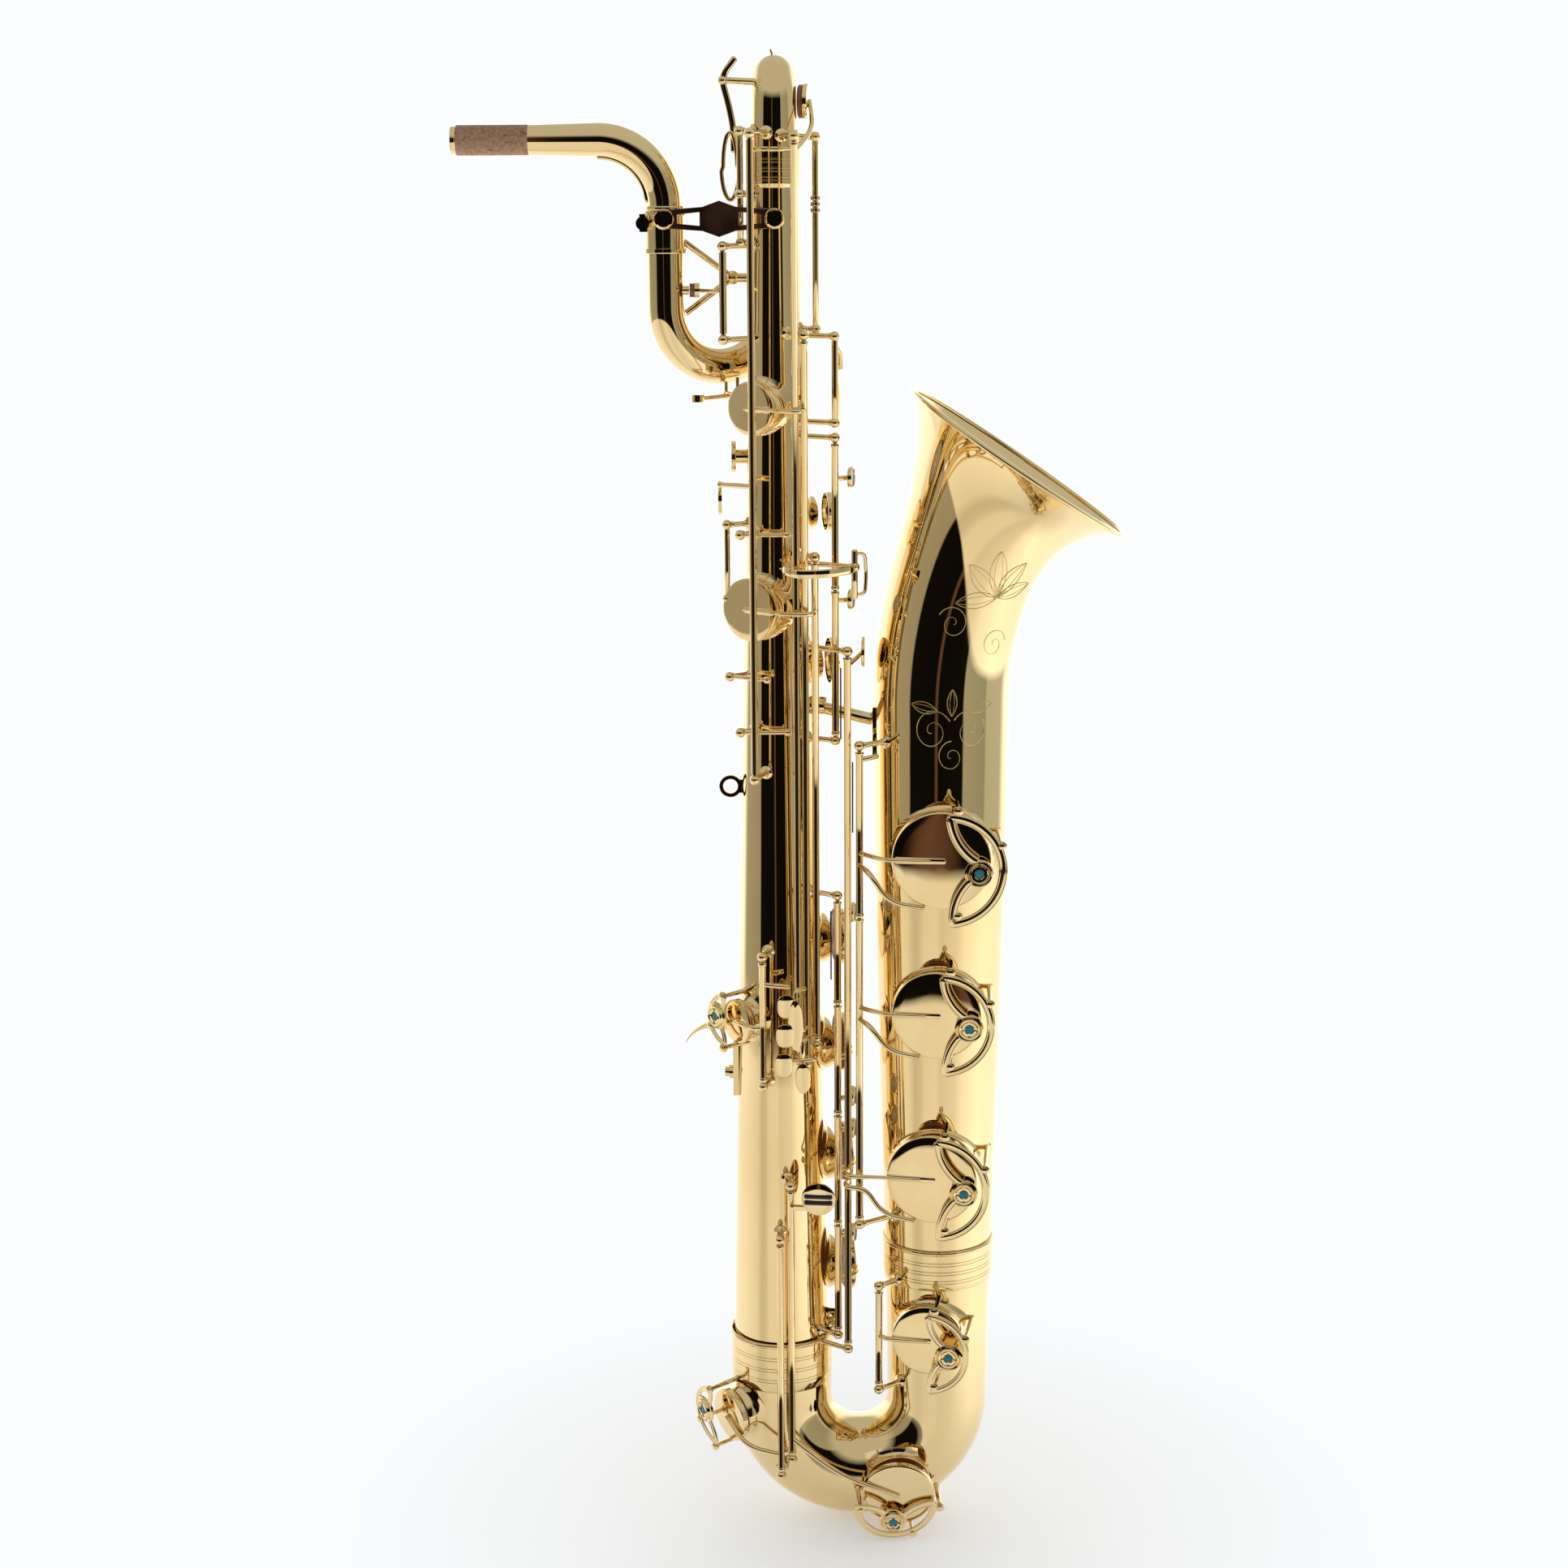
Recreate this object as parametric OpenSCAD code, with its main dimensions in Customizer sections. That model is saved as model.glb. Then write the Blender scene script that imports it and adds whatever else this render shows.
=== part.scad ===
// Low-A baritone saxophone, built as separate brass tubes, keys and fittings.
// +X points forwards to the bell, +Z up along the body, +Y to the player's left.
// The origin is the lowest point of the bow, midway between body and bell.

/* [Tubing] */
// Distance between the body's axis and the bell's axis
tube_gap = 114; // [112:1:116]
// Outer radius of the bow
bow_r = 36.5; // [36:0.5:37]
// Height of the body's top end
body_top = 985; // [980:1:990]
// Outer radius of the body at its top end
body_top_r = 16; // [15.5:0.5:16.5]
// Thickness of the brass sheet
wall = 0.9; // [0.8:0.1:1.1]

/* [Bell] */
// Height at which the bell starts to lean forwards
flare_z = 612; // [605:1:618]
// Radius of the bell's rim
bell_rim_r = 88.5; // [86:0.5:90]
// How far the bell leans forwards, in degrees
bell_lean = 34.4; // [32:0.2:36]

/* [Keys] */
// Outer radius of the hinge tubes
hinge_r = 2.5; // [2.3:0.1:2.7]
// Radius of the steel hinge rods
rod_r = 1.5; // [1.3:0.1:1.6]
// Radius of the balls on the posts
ball_r = 3.6; // [3.4:0.1:4]
// Radius of the keys' arms
arm_r = 1.8; // [1.6:0.1:2]

/* [Hidden] */
$fn = 48;

run_gap = 0.05;          // radial running clearance of a hinge tube on its rod
seat_gap = 0.3;          // gap between a shut pad and its tone hole
pad_t = 4;               // thickness of a pad
cup_t = 4.5;             // height of a pad cup
body_x = -tube_gap / 2;
bell_x = tube_gap / 2;
bow_turn_r = tube_gap / 2;
bow_z = bow_turn_r + bow_r;   // height of the bow's centre
body_bottom = bow_z + 15;
body_bottom_r = 35.5;
bell_start = 200;
flare_turn_r = 297;      // radius of the bell's bend
flare_r = 48;            // outer radius where the bend starts

brass = "goldenrod";
leather = "saddlebrown";
felt = "teal";
steel = "dimgray";

// Outer radius of the body tube at height z
function body_r(z) = body_top_r + (body_bottom_r - body_top_r) * (body_top - z) / (body_top - body_bottom);
// Height and outer radius at the bell's cone joints
bell_cones = [[bell_start, 38.5], [354, 42.9], [513, 47], [flare_z, flare_r]];
// Outer radius of the bell stack at height z
function bell_r(z) = z < 354 ? 38.5 + 4.4 * (z - 200) / 154
    : z < 513 ? 42.9 + 4.1 * (z - 354) / 159 : 47 + (z - 513) / (flare_z - 513);
// Point at distance d from a vertical tube's axis x, in direction th, at height z
function on_tube(x, th, z, d) = [x + d * cos(th), d * sin(th), z];
// Sideways direction around a tube
function sideways(th) = [-sin(th), cos(th), 0];

// Round rod from a to b
module rod(a, b, r) {
    v = b - a;
    translate(a) rotate([0, acos(v[2] / norm(v)), atan2(v[1], v[0])]) rotate([0, 0, 25]) cylinder(h = norm(v), r = r);
}
// Bent rod through points, with a ball in each bend
module bent_rod(points, r) {
    for (i = [0:len(points) - 2]) rod(points[i], points[i + 1], r);
    for (i = [1:len(points) - 2]) translate(points[i]) rotate([65, 22, 0]) sphere(r * 1.25, $fn = 36);
}
// Puts children on a tube's side: x runs sideways, y up and z outwards
module facing(x, th, z) {
    translate([x, 0, z]) rotate([0, 0, th]) rotate([0, 90, 0]) rotate([0, 0, 90]) children();
}
// Turns children about a vertical line through h
module turned(h, a) {
    translate([h[0], h[1], 0]) rotate([0, 0, a]) translate([-h[0], -h[1], 0]) children();
}

// ---- where the tone holes are: [tube x, direction, height, cup radius, distance of the hole's rim] ----
chimney = 5;             // height of a drawn tone hole
low_a_hole = [bell_x, -90, 514, 34.4, bell_r(514) + chimney];
low_b_flat_hole = [bell_x, -93, 402, 31.5, bell_r(402) + chimney];
low_b_hole = [bell_x, -96, 280, 32.4, bell_r(280) + chimney];
low_c_sharp_hole = [bell_x, -101, 154, 26, 38 + chimney];
side_c_hole = [body_x, -124, 820, 18.4, body_r(820) + chimney];
side_b_flat_hole = [body_x, -124, 683, 22, body_r(683) + chimney];
trill_hole = [body_x, -140, 388, 16, body_r(388) + chimney];
stack_dir = 22;          // direction that the main stack's tone holes face
f_sharp_hole = [body_x, stack_dir, 439, 21, body_r(439) + chimney];
f_hole = [body_x, stack_dir, 360, 22, body_r(360) + chimney];
e_hole = [body_x, stack_dir, 276, 22.5, body_r(276) + chimney];
d_hole = [body_x, stack_dir, 192, 22.5, body_r(192) + chimney];
g_hole = [body_x, stack_dir, 640, 17, body_r(640) + chimney];
b_hole = [body_x, stack_dir, 745, 14, body_r(745) + chimney];
body_holes = [side_c_hole, side_b_flat_hole, trill_hole, f_sharp_hole, f_hole, e_hole, d_hole, g_hole, b_hole];

// Drawn rim of a tone hole, solid
module chimney_out(h) facing(h[0], h[1], h[2]) cylinder(h = h[4], r = h[3] - 2);
// Opening through a tone hole
module chimney_in(h) facing(h[0], h[1], h[2]) translate([0, 0, 5]) cylinder(h = h[4], r = h[3] - 3.2);

// ---- fixed tubes ----
module body_tube() color(brass) difference() {
    union() {
        translate([body_x, 0, body_bottom])
            cylinder(h = body_top - body_bottom, r1 = body_bottom_r, r2 = body_top_r);
        for (h = body_holes) chimney_out(h);
    }
    translate([body_x, 0, body_bottom - 0.01])
        cylinder(h = body_top - body_bottom + 0.02, r1 = body_bottom_r - wall, r2 = body_top_r - wall);
    for (h = body_holes) chimney_in(h);
}

// Frame of the low C tone hole, on the player's right side of the bow
module at_low_c() translate([24, 0, 47]) rotate([0, 0, -86]) rotate([0, 102, 0]) rotate([0, 0, 90]) children();
// Frame of the E flat tone hole, low on the body's back
module at_e_flat() translate([body_x, 0, 92]) rotate([0, 0, 214]) rotate([0, 96, 0]) rotate([0, 0, 90]) children();
low_c_rim = 41.5;        // distance of the hole's rim from the bow's centreline
e_flat_rim = 41;
low_c_r = 26;            // cup radii
e_flat_r = 20;

module bow() color(brass) difference() {
    union() {
        translate([0, 0, bow_z]) rotate([90, 180, 0]) rotate_extrude(angle = 180)
            translate([bow_turn_r, 0]) circle(bow_r);
        translate([bell_x, 0, bow_z]) cylinder(h = bell_start - bow_z, r1 = bow_r, r2 = 38.5);
        translate([body_x, 0, bow_z]) cylinder(h = body_bottom - bow_z, r = bow_r);
        chimney_out(low_c_sharp_hole);
        at_low_c() cylinder(h = low_c_rim, r = low_c_r - 2);
        at_e_flat() cylinder(h = e_flat_rim, r = e_flat_r - 2);
    }
    translate([0, 0, bow_z]) rotate([90, 180, 0]) rotate_extrude(angle = 180)
        translate([bow_turn_r, 0]) circle(bow_r - wall);
    translate([bell_x, 0, bow_z - 0.01])
        cylinder(h = bell_start - bow_z + 0.02, r1 = bow_r - wall + 0.01, r2 = 38.5 - wall);
    translate([body_x, 0, bow_z - 0.01]) cylinder(h = body_bottom - bow_z + 4, r = bow_r - wall + 0.01);
    chimney_in(low_c_sharp_hole);
    at_low_c() translate([0, 0, 8]) cylinder(h = low_c_rim, r = low_c_r - 3.2);
    at_e_flat() translate([0, 0, 8]) cylinder(h = e_flat_rim, r = e_flat_r - 3.2);
}

module bell_stack() color(brass) difference() {
    union() {
        for (i = [0:2]) translate([bell_x, 0, bell_cones[i][0]])
            cylinder(h = bell_cones[i + 1][0] - bell_cones[i][0], r1 = bell_cones[i][1], r2 = bell_cones[i + 1][1]);
        for (h = [low_a_hole, low_b_flat_hole, low_b_hole]) chimney_out(h);
    }
    for (i = [0:2]) translate([bell_x, 0, bell_cones[i][0] - 0.01])
        cylinder(h = bell_cones[i + 1][0] - bell_cones[i][0] + 0.02,
            r1 = bell_cones[i][1] - wall, r2 = bell_cones[i + 1][1] - wall);
    for (h = [low_a_hole, low_b_flat_hole, low_b_hole]) chimney_in(h);
}

// Flared end of the bell: rings along an arc, outside and then back inside
flare_steps = 14;
ring_sides = 48;
function flare_radius(t) = flare_r + (bell_rim_r - flare_r) * pow(t, 5.5);
function flare_ring(t, inset) = let (a = bell_lean * t, r = flare_radius(t) - inset)
    [for (j = [0:ring_sides - 1]) let (q = 360 * j / ring_sides)
        [bell_x + flare_turn_r * (1 - cos(a)) + r * cos(q) * cos(a), r * sin(q),
         flare_z + flare_turn_r * sin(a) - r * cos(q) * sin(a)]];
module bell_flare() color(brass) {
    rings = concat([for (i = [0:flare_steps]) flare_ring(i / flare_steps, 0)],
        [for (i = [flare_steps:-1:0]) flare_ring(i / flare_steps, wall)]);
    n = len(rings);
    polyhedron(points = [for (ring = rings) each ring],
        faces = [for (i = [0:n - 1], j = [0:ring_sides - 1])
            let (k = (i + 1) % n, m = (j + 1) % ring_sides)
            each [[i * ring_sides + j, k * ring_sides + j, k * ring_sides + m],
                  [i * ring_sides + j, k * ring_sides + m, i * ring_sides + m]]],
        convexity = 8);
}
rim_x = bell_x + flare_turn_r * (1 - cos(bell_lean));
rim_z = flare_z + flare_turn_r * sin(bell_lean);
module bell_rim() color(brass) translate([rim_x, 0, rim_z]) rotate([0, bell_lean, 0])
    rotate_extrude() translate([bell_rim_r - 0.4, 0]) circle(1.9);

// Sleeve around a vertical tube with scribed grooves
module sleeve(x, z0, z1, r_in, r_out) translate([x, 0, z0]) difference() {
    union() {
        cylinder(h = z1 - z0, r = r_out);
        translate([0, 0, z1 - z0 - 2.6]) cylinder(h = 2.6, r = r_out + 0.8);
    }
    translate([0, 0, -1]) cylinder(h = z1 - z0 + 2, r = r_in);
    for (k = [1:3]) translate([0, 0, (z1 - z0 - 3) * k / 4]) difference() {
        cylinder(h = 0.5, r = r_out + 1);
        translate([0, 0, -1]) cylinder(h = 3, r = r_out - 0.3);
    }
}
top_turn_r = 19.5;       // half the distance between the body and the return tube
top_z = 1019;            // height of the top bow's centre
return_y = 2 * top_turn_r;
module ferrules() color(brass) {
    sleeve(body_x, body_bottom + 0.5, 146, body_r(body_bottom) + 0.1, 37.4);
    sleeve(bell_x, 188, 218, 39.1, 40.2);
    sleeve(body_x, 966, 993, body_r(960) + 0.2, 17.6);
    translate([0, return_y, 0]) sleeve(body_x, 962, 980, 13.9, 14.9);
}
module top_bow() color(brass) difference() {
    union() {
        translate([body_x, 0, body_top]) cylinder(h = top_z - body_top, r1 = body_top_r, r2 = 15.2);
        translate([body_x, return_y, body_top]) cylinder(h = top_z - body_top, r1 = 13.8, r2 = 15);
        translate([body_x, top_turn_r, top_z]) rotate([90, 0, 90]) rotate_extrude(angle = 180)
            translate([top_turn_r, 0]) circle(15);
    }
    translate([body_x, 0, body_top - 0.01]) cylinder(h = top_z - body_top + 0.02, r = 14);
    translate([body_x, return_y, body_top - 0.01]) cylinder(h = top_z - body_top + 0.02, r1 = 12.8, r2 = 13.9);
    translate([body_x, top_turn_r, top_z]) rotate([90, 0, 90]) rotate_extrude(angle = 180)
        translate([top_turn_r, 0]) circle(13.9);
}

// Return tube, the loop behind the body and the leg that carries the neck
loop_z = 887;
loop_r = 41.8;
loop_dir = atan2(return_y, 74);
leg_x = body_x - 74;
loop_tube_r = 12.3;
module crook_shape(r) {
    translate([body_x, return_y, loop_z]) cylinder(h = body_top - loop_z, r1 = r, r2 = r + 1.2);
    translate([leg_x, 0, loop_z]) cylinder(h = 36, r = r);
    translate([(body_x + leg_x) / 2, return_y / 2, loop_z]) rotate([0, 0, loop_dir]) rotate([90, 180, 0])
        rotate_extrude(angle = 180) translate([loop_r, 0]) circle(r + 0.01);
}
vent_z = 898;            // height of the upper octave vent
module crook_loop() color(brass) difference() {
    union() {
        crook_shape(loop_tube_r);
        translate([leg_x + 10, -2, vent_z]) rotate([0, 90, 0]) cylinder(h = 6, r = 3);
    }
    translate([leg_x + 9, -2, vent_z]) rotate([0, 90, 0]) cylinder(h = 9, r = 1.2);
    crook_shape(loop_tube_r - wall);
    translate([body_x, return_y, body_top - 1]) cylinder(h = 3, r = loop_tube_r + 0.3 - wall);
    translate([leg_x, 0, loop_z + 34]) cylinder(h = 3, r = loop_tube_r - wall);
}
neck_r = 11.2;           // outer radius of the neck at its foot
receiver_z = 923;
receiver_top = 951;
module neck_receiver() color(brass) difference() {
    union() {
        translate([leg_x, 0, receiver_z]) cylinder(h = receiver_top - receiver_z, r = 13.2);
        for (z = [receiver_z, receiver_top - 3]) translate([leg_x, 0, z]) cylinder(h = 3, r = 14.4);
        translate([leg_x - 17, -3.5, receiver_top - 14]) cube([8, 7, 12]);
    }
    translate([leg_x, 0, receiver_z - 1]) cylinder(h = receiver_top - receiver_z + 2, r = neck_r + 0.05);
    translate([leg_x - 25, -0.6, receiver_z + 8]) cube([20, 1.2, receiver_top - receiver_z]);
    translate([leg_x - 14.5, 10, receiver_top - 8]) rotate([90, 0, 0]) cylinder(h = 20, r = 1.75);
}
module neck_clamp_screw() color(brass) translate([leg_x - 14.5, 0, receiver_top - 8]) rotate([90, 0, 0]) {
    translate([0, 0, -6]) cylinder(h = 14, r = 1.7);
    translate([0, 0, 8]) cylinder(h = 3, r = 4.6);
    translate([0, 0, 11]) cylinder(h = 3, r = 3.6);
}
brace_z = 946;
plate_y = 18.6;          // how far in front of the axes the brace plate lies
module neck_brace_plate() color("#3a2420") {
    difference() {
        translate([leg_x, -plate_y, brace_z]) rotate([90, 0, 0]) linear_extrude(2) difference() {
            union() {
                translate([37, 0]) circle(11);
                polygon([[0, 6], [26, 8], [37, 12], [48, 8], [74, 6], [74, -6], [48, -8], [37, -12], [26, -8], [0, -6]]);
                circle(7);
                translate([74, 0]) circle(7);
            }
            for (m = [0, 1]) translate([37, 0]) mirror([m, 0])
                polygon([[13, 4.5], [28, 3], [28, -3], [13, -4.5]]);
        }
        for (x = [leg_x, body_x]) translate([x, -10, brace_z]) rotate([90, 0, 0]) cylinder(h = 14, r = 2.1);
    }
}
// Slotted screw through the brace plate into a pillar, pointing at the viewer's side
module slotted_screw(start, seat) {
    cylinder(h = seat - start, r = 4.5);
    translate([0, 0, seat - start - 0.5]) cylinder(h = 3.2, r = 2);
    translate([0, 0, seat - start + 2.7]) difference() {
        translate([0, 0, -0.5]) cylinder(h = 2.4, r = 5);
        translate([-7, -0.6, 1]) cube([14, 1.2, 3]);
    }
}
module brace_screws() color(brass) for (p = [[leg_x, 12], [body_x, body_r(brace_z) - 0.8]])
    translate([p[0], -p[1], brace_z]) rotate([90, 0, 0]) slotted_screw(p[1], plate_y - 0.1);
module loop_brace() color(brass) {
    p = [(body_x + leg_x) / 2 + 8, return_y / 2, 905];
    rod([leg_x + 13, 1, 930], p, 2.2);
    rod([leg_x + 13, 5, 882], p, 2.2);
    rod(p, [body_x - 8, 16, 905], 3.2);
    translate(p) rotate([65, 22, 0]) sphere(5);
}
ring_z = 553;
module strap_ring() color(brass) {
    x = body_x - body_r(ring_z);
    translate([x - 8, 1.5, ring_z]) rotate([90, 0, 0]) difference() {
        union() {
            cylinder(h = 3, r = 8);
            translate([3, -5, 0]) cube([6, 10, 3]);
        }
        translate([0, 0, -1]) cylinder(h = 5, r = 5);
    }
}
module thumb_hook() color(brass) {
    x = body_x - body_r(345);
    translate([x - 3.5, -7, 326]) cube([4, 14, 46]);
    translate([x - 3, 7, 372]) rotate([90, 0, 0]) bent_plate();
}
// Curved finger plate of the thumb hook
module bent_plate() linear_extrude(14) difference() {
    translate([-14, -14]) circle(22);
    translate([-15, -17]) circle(22);
    translate([-60, -66]) square([120, 60]);
}
module thumb_hook_screw() color(brass) translate([body_x - body_r(345) - 3.4, 0, 342]) rotate([0, -90, 0]) {
    cylinder(h = 3, r = 5);
    translate([0, 0, 3]) cylinder(h = 3, r = 3.6);
}
module thumb_rest() color(brass) translate([body_x - body_r(785), 0, 785]) rotate([0, -90, 0]) {
    translate([0, 0, -1]) cylinder(h = 8, r = 5);
    translate([0, 0, 7]) cylinder(h = 3, r = 11);
}
module bell_brace() color(brass) {
    rod([body_x + body_r(611) - 1, 0, 611], [bell_x - bell_r(600) + 0.6, 0, 600], 4.5);
    rod([body_x + body_r(611) - 1, 0, 611], [body_x + body_r(611) + 9, 0, 610], 6.5);
    translate([bell_x, 0, 575]) rotate([0, 0, 166]) rotate_extrude(angle = 28)
        translate([bell_r(575) + 0.3, 0]) square([1.6, 36]);
}

// ---- hinge rods, posts, guards ----
// Vertical hinge lines: [x, y, lowest z, highest z]
bell_hinge = [-1, -40, 240, 590];
b_hinge = [-9, -34, 142, 655];
c_sharp_hinge = [13, -38, 112, 192];
stack_hinge = [-16, -27, 150, 480];
upper_hinge = [-17, -22, 590, 800];
side_c_hinge = [-38, -38, 360, 870];
side_b_flat_hinge = [-31, -33, 372, 720];
high_e_hinge = [-44, -41, 380, 1000];
trill_hinge = [-69, -43, 345, 440];
low_hinge = [-50, -47, 62, 272];
e_flat_hinge = [-58, -49, 50, 232];
octave_hinge = [-73, -47, 568, 1002];
vent_hinge = [-92, -19, 866, 928];
water_z = 826;           // height of the water key's hinge
hinges = [bell_hinge, b_hinge, c_sharp_hinge, stack_hinge, upper_hinge, side_c_hinge, side_b_flat_hinge,
    high_e_hinge, trill_hinge, low_hinge, e_flat_hinge, octave_hinge, vent_hinge];
// Where each hinge's posts stand on the body, by direction
module hinge_rods() color(steel) {
    for (h = hinges) translate([h[0], h[1], h[2] - 1]) cylinder(h = h[3] - h[2] + 2, r = rod_r);
    translate([leg_x + 44, 8, water_z]) rotate([90, 0, loop_dir]) cylinder(h = 20, r = rod_r, center = true);
}
// Post from a tube's side to a hinge line, with a ball on its end
module post(h, z, x, r) {
    v = [h[0] - x, h[1]];
    d = norm(v);
    foot = [x + v[0] / d * (r - 0.5), v[1] / d * (r - 0.5), z];
    rod(foot, [h[0], h[1], z], 2);
    rod(foot, foot + 1.9 * [v[0] / d, v[1] / d, 0], 4.6);
    translate([h[0], h[1], z]) sphere(ball_r);
}
module ball_posts() color(brass) {
    for (h = [stack_hinge, upper_hinge, side_c_hinge, side_b_flat_hinge, high_e_hinge, trill_hinge, octave_hinge,
              b_hinge, vent_hinge], z = [h[2], h[3]])
        post(h, z, body_x, z > body_top ? 15.8 : body_r(z));
    for (z = [bell_hinge[2], bell_hinge[3]]) post(bell_hinge, z, bell_x, bell_r(z));
    for (z = [c_sharp_hinge[2], c_sharp_hinge[3]]) post(c_sharp_hinge, z, bell_x, z > 188 ? 40 : 37);
    for (h = [low_hinge, e_flat_hinge]) post(h, h[3], body_x, body_r(h[3]));
    for (h = [low_hinge, e_flat_hinge]) post(h, h[2], body_x, 36);
    for (s = [-8.5, 8.5]) translate([leg_x + 44, 8, water_z]) rotate([0, 0, loop_dir]) translate([0, s, 0]) {
        sphere(2.4);
        cylinder(h = 13, r = 1.3);
    }
}

// Crescent guard beside a cup: outer band, two petal windows and a hub for the bumper
guard_t = 1.8;
guard_lift = 25;         // height of a bell guard above its tube
// A guard's feet: [direction, distance outside the cup, which foot length]
guard_feet = [[77, 3.6, 0], [18, 6, 1], [-77, 3.6, 0]];
module guard_outline(rc) {
    k = rc / 34.4;
    difference() {
        union() {
            intersection() {
                translate([1.8 * k, -5 * k]) circle(40 * k);
                union() {
                    translate([42 * k, 34 * k]) circle(41 * k);
                    translate([43 * k, -39 * k]) circle(40 * k);
                }
            }
            translate([23 * k, -7 * k]) circle(9.5);
        }
        difference() {
            intersection() {
                translate([1.8 * k, -5 * k]) circle(32.5 * k);
                union() {
                    translate([42 * k, 34 * k]) circle(35.5 * k);
                    translate([43 * k, -39 * k]) circle(34.5 * k);
                }
            }
            translate([23 * k, -7 * k]) circle(9.5);
        }
    }
}
module guard(rc, lift, foot) {
    k = rc / 34.4;
    difference() {
        union() {
            translate([0, 0, lift]) linear_extrude(guard_t) guard_outline(rc);
            translate([23 * k, -7 * k, lift - 1.5]) cylinder(h = 5.5, r = 7.4);
            for (f = guard_feet) rotate([0, 0, f[0]]) translate([rc + (f[2] == 1 ? f[1] * k : f[1]), 0, 0]) {
                translate([0, 0, lift - foot[f[2]]]) cylinder(h = foot[f[2]] + 0.9, r = 1.8);
                translate([0, 0, lift]) cylinder(h = guard_t + 0.4, r = 3.4);
            }
        }
        translate([23 * k, -7 * k, lift - 3]) cylinder(h = 10, r = 5.65);
    }
}
module bumper(rc, lift, len) translate([23 * rc / 34.4, -7 * rc / 34.4, lift + 3 - len]) cylinder(h = len, r = 5.6);
guarded = [low_a_hole, low_b_flat_hole, low_b_hole, low_c_sharp_hole];
function tube_r(h) = h[4] - chimney;
module bell_key_guards() color(brass) for (h = guarded) facing(h[0], h[1], h[2])
    guard(h[3], tube_r(h) + guard_lift, [guard_lift + 3.5, guard_lift + tube_r(h) - sqrt(pow(tube_r(h), 2) - pow(h[3] * 0.95 + 5.7, 2)) + 3]);
module bow_key_guards() color(brass) {
    at_low_c() rotate([0, 0, -90]) guard(low_c_r, low_c_rim + 19, [24, 30]);
    at_e_flat() rotate([0, 0, 180]) guard(e_flat_r, e_flat_rim + 17, [24, 28]);
    facing(trill_hole[0], trill_hole[1], trill_hole[2]) rotate([0, 0, 180]) guard(trill_hole[3], trill_hole[4] + 14, [20, 25]);
}
module guard_bumpers() color(felt) {
    for (h = guarded) facing(h[0], h[1], h[2]) bumper(h[3], tube_r(h) + guard_lift, 4);
    at_low_c() rotate([0, 0, -90]) bumper(low_c_r, low_c_rim + 19, 5);
    at_e_flat() rotate([0, 0, 180]) bumper(e_flat_r, e_flat_rim + 17, 5);
}
module needle_springs() color("#20242c") for (h = [bell_hinge, b_hinge, stack_hinge, side_c_hinge])
    rod([h[0] - 4.6, h[1] + 2, h[3] - 12], [h[0] - 4.6, h[1] + 2, h[3] - 62], 0.5);

// ---- keys ----
module pad(r, d) color(leather) translate([0, 0, d + seat_gap]) cylinder(h = pad_t, r = r - 1.2);
module cup(r, d) translate([0, 0, d + seat_gap]) difference() {
    translate([0, 0, 2]) cylinder(h = cup_t, r = r);
    translate([0, 0, 1]) cylinder(h = pad_t - 0.95, r = r - 1.05);
}
cup_top = seat_gap + 2 + cup_t;
// Hinge tube between two heights
module hinge_tube(h, z0, z1) translate([h[0], h[1], z0]) cylinder(h = z1 - z0, r = hinge_r);
module hinge_bore(h) translate([h[0], h[1], h[2] - 5]) cylinder(h = h[3] - h[2] + 10, r = rod_r + run_gap);
// Arm from a hinge line, up over the cup's edge and along its top
module cup_arm(hinge, hole, z, side, reach, dodge) {
    t = side * sideways(hole[1]);
    edge = on_tube(hole[0], hole[1], z, hole[4] + cup_top + 1) + (hole[3] + 4) * t;
    bent_rod(concat([[hinge[0], hinge[1], z]], [for (p = dodge) [p[0], p[1], z]], [edge, on_tube(hole[0], hole[1], z, hole[4] + cup_top + 1) - reach * t]), arm_r);
}
// Key that swings on a vertical hinge; children are its touches
module swing_key(hinge, z0, z1, hole, side, open, reach = 0, dodge = []) color(brass) turned(hinge, open) difference() {
    union() {
        hinge_tube(hinge, z0, z1);
        cup_arm(hinge, hole, hole[2], side, reach, dodge);
        facing(hole[0], hole[1], hole[2]) cup(hole[3], hole[4]);
        children();
    }
    hinge_bore(hinge);
}
module swing_pad(hinge, hole, open) turned(hinge, open) facing(hole[0], hole[1], hole[2]) pad(hole[3], hole[4]);

bell_open = -6;          // how far the open-standing bell keys stand off, in degrees
stack_open = -12;
// Curved stay from the hinge to the lower edge of a bell key's cup
module stay(hinge, hole, dodge = []) {
    t = sideways(hole[1]);
    d = hole[4] + seat_gap + 6.3;
    a = on_tube(hole[0], hole[1], 0, d);
    low = hole[2] - hole[3] + 2;
    bent_rod(concat([[hinge[0], hinge[1], hole[2] - 8]], [for (p = dodge) [p[0], p[1], hole[2] - 8]],
        [a - (hole[3] + 15) * t + [0, 0, hole[2] - 10],
        a - (hole[3] + 2) * t + [0, 0, low + 2], a - 12 * t + [0, 0, low - 1]]), arm_r * 0.9);
}
module low_a_key() swing_key(bell_hinge, 468, 586, low_a_hole, -1, bell_open, -8) {
    stay(bell_hinge, low_a_hole);
    rod([bell_hinge[0], bell_hinge[1], 580], [bell_hinge[0] + 12, bell_hinge[1] + 4, 582], arm_r);
}
module low_a_pad() swing_pad(bell_hinge, low_a_hole, bell_open);
module low_b_flat_key() swing_key(bell_hinge, 244, 467, low_b_flat_hole, -1, bell_open, -8)
    stay(bell_hinge, low_b_flat_hole);
module low_b_flat_pad() swing_pad(bell_hinge, low_b_flat_hole, bell_open);
b_dodge = [[-10, -50]];  // the low B arms pass in front of the next hinge
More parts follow.
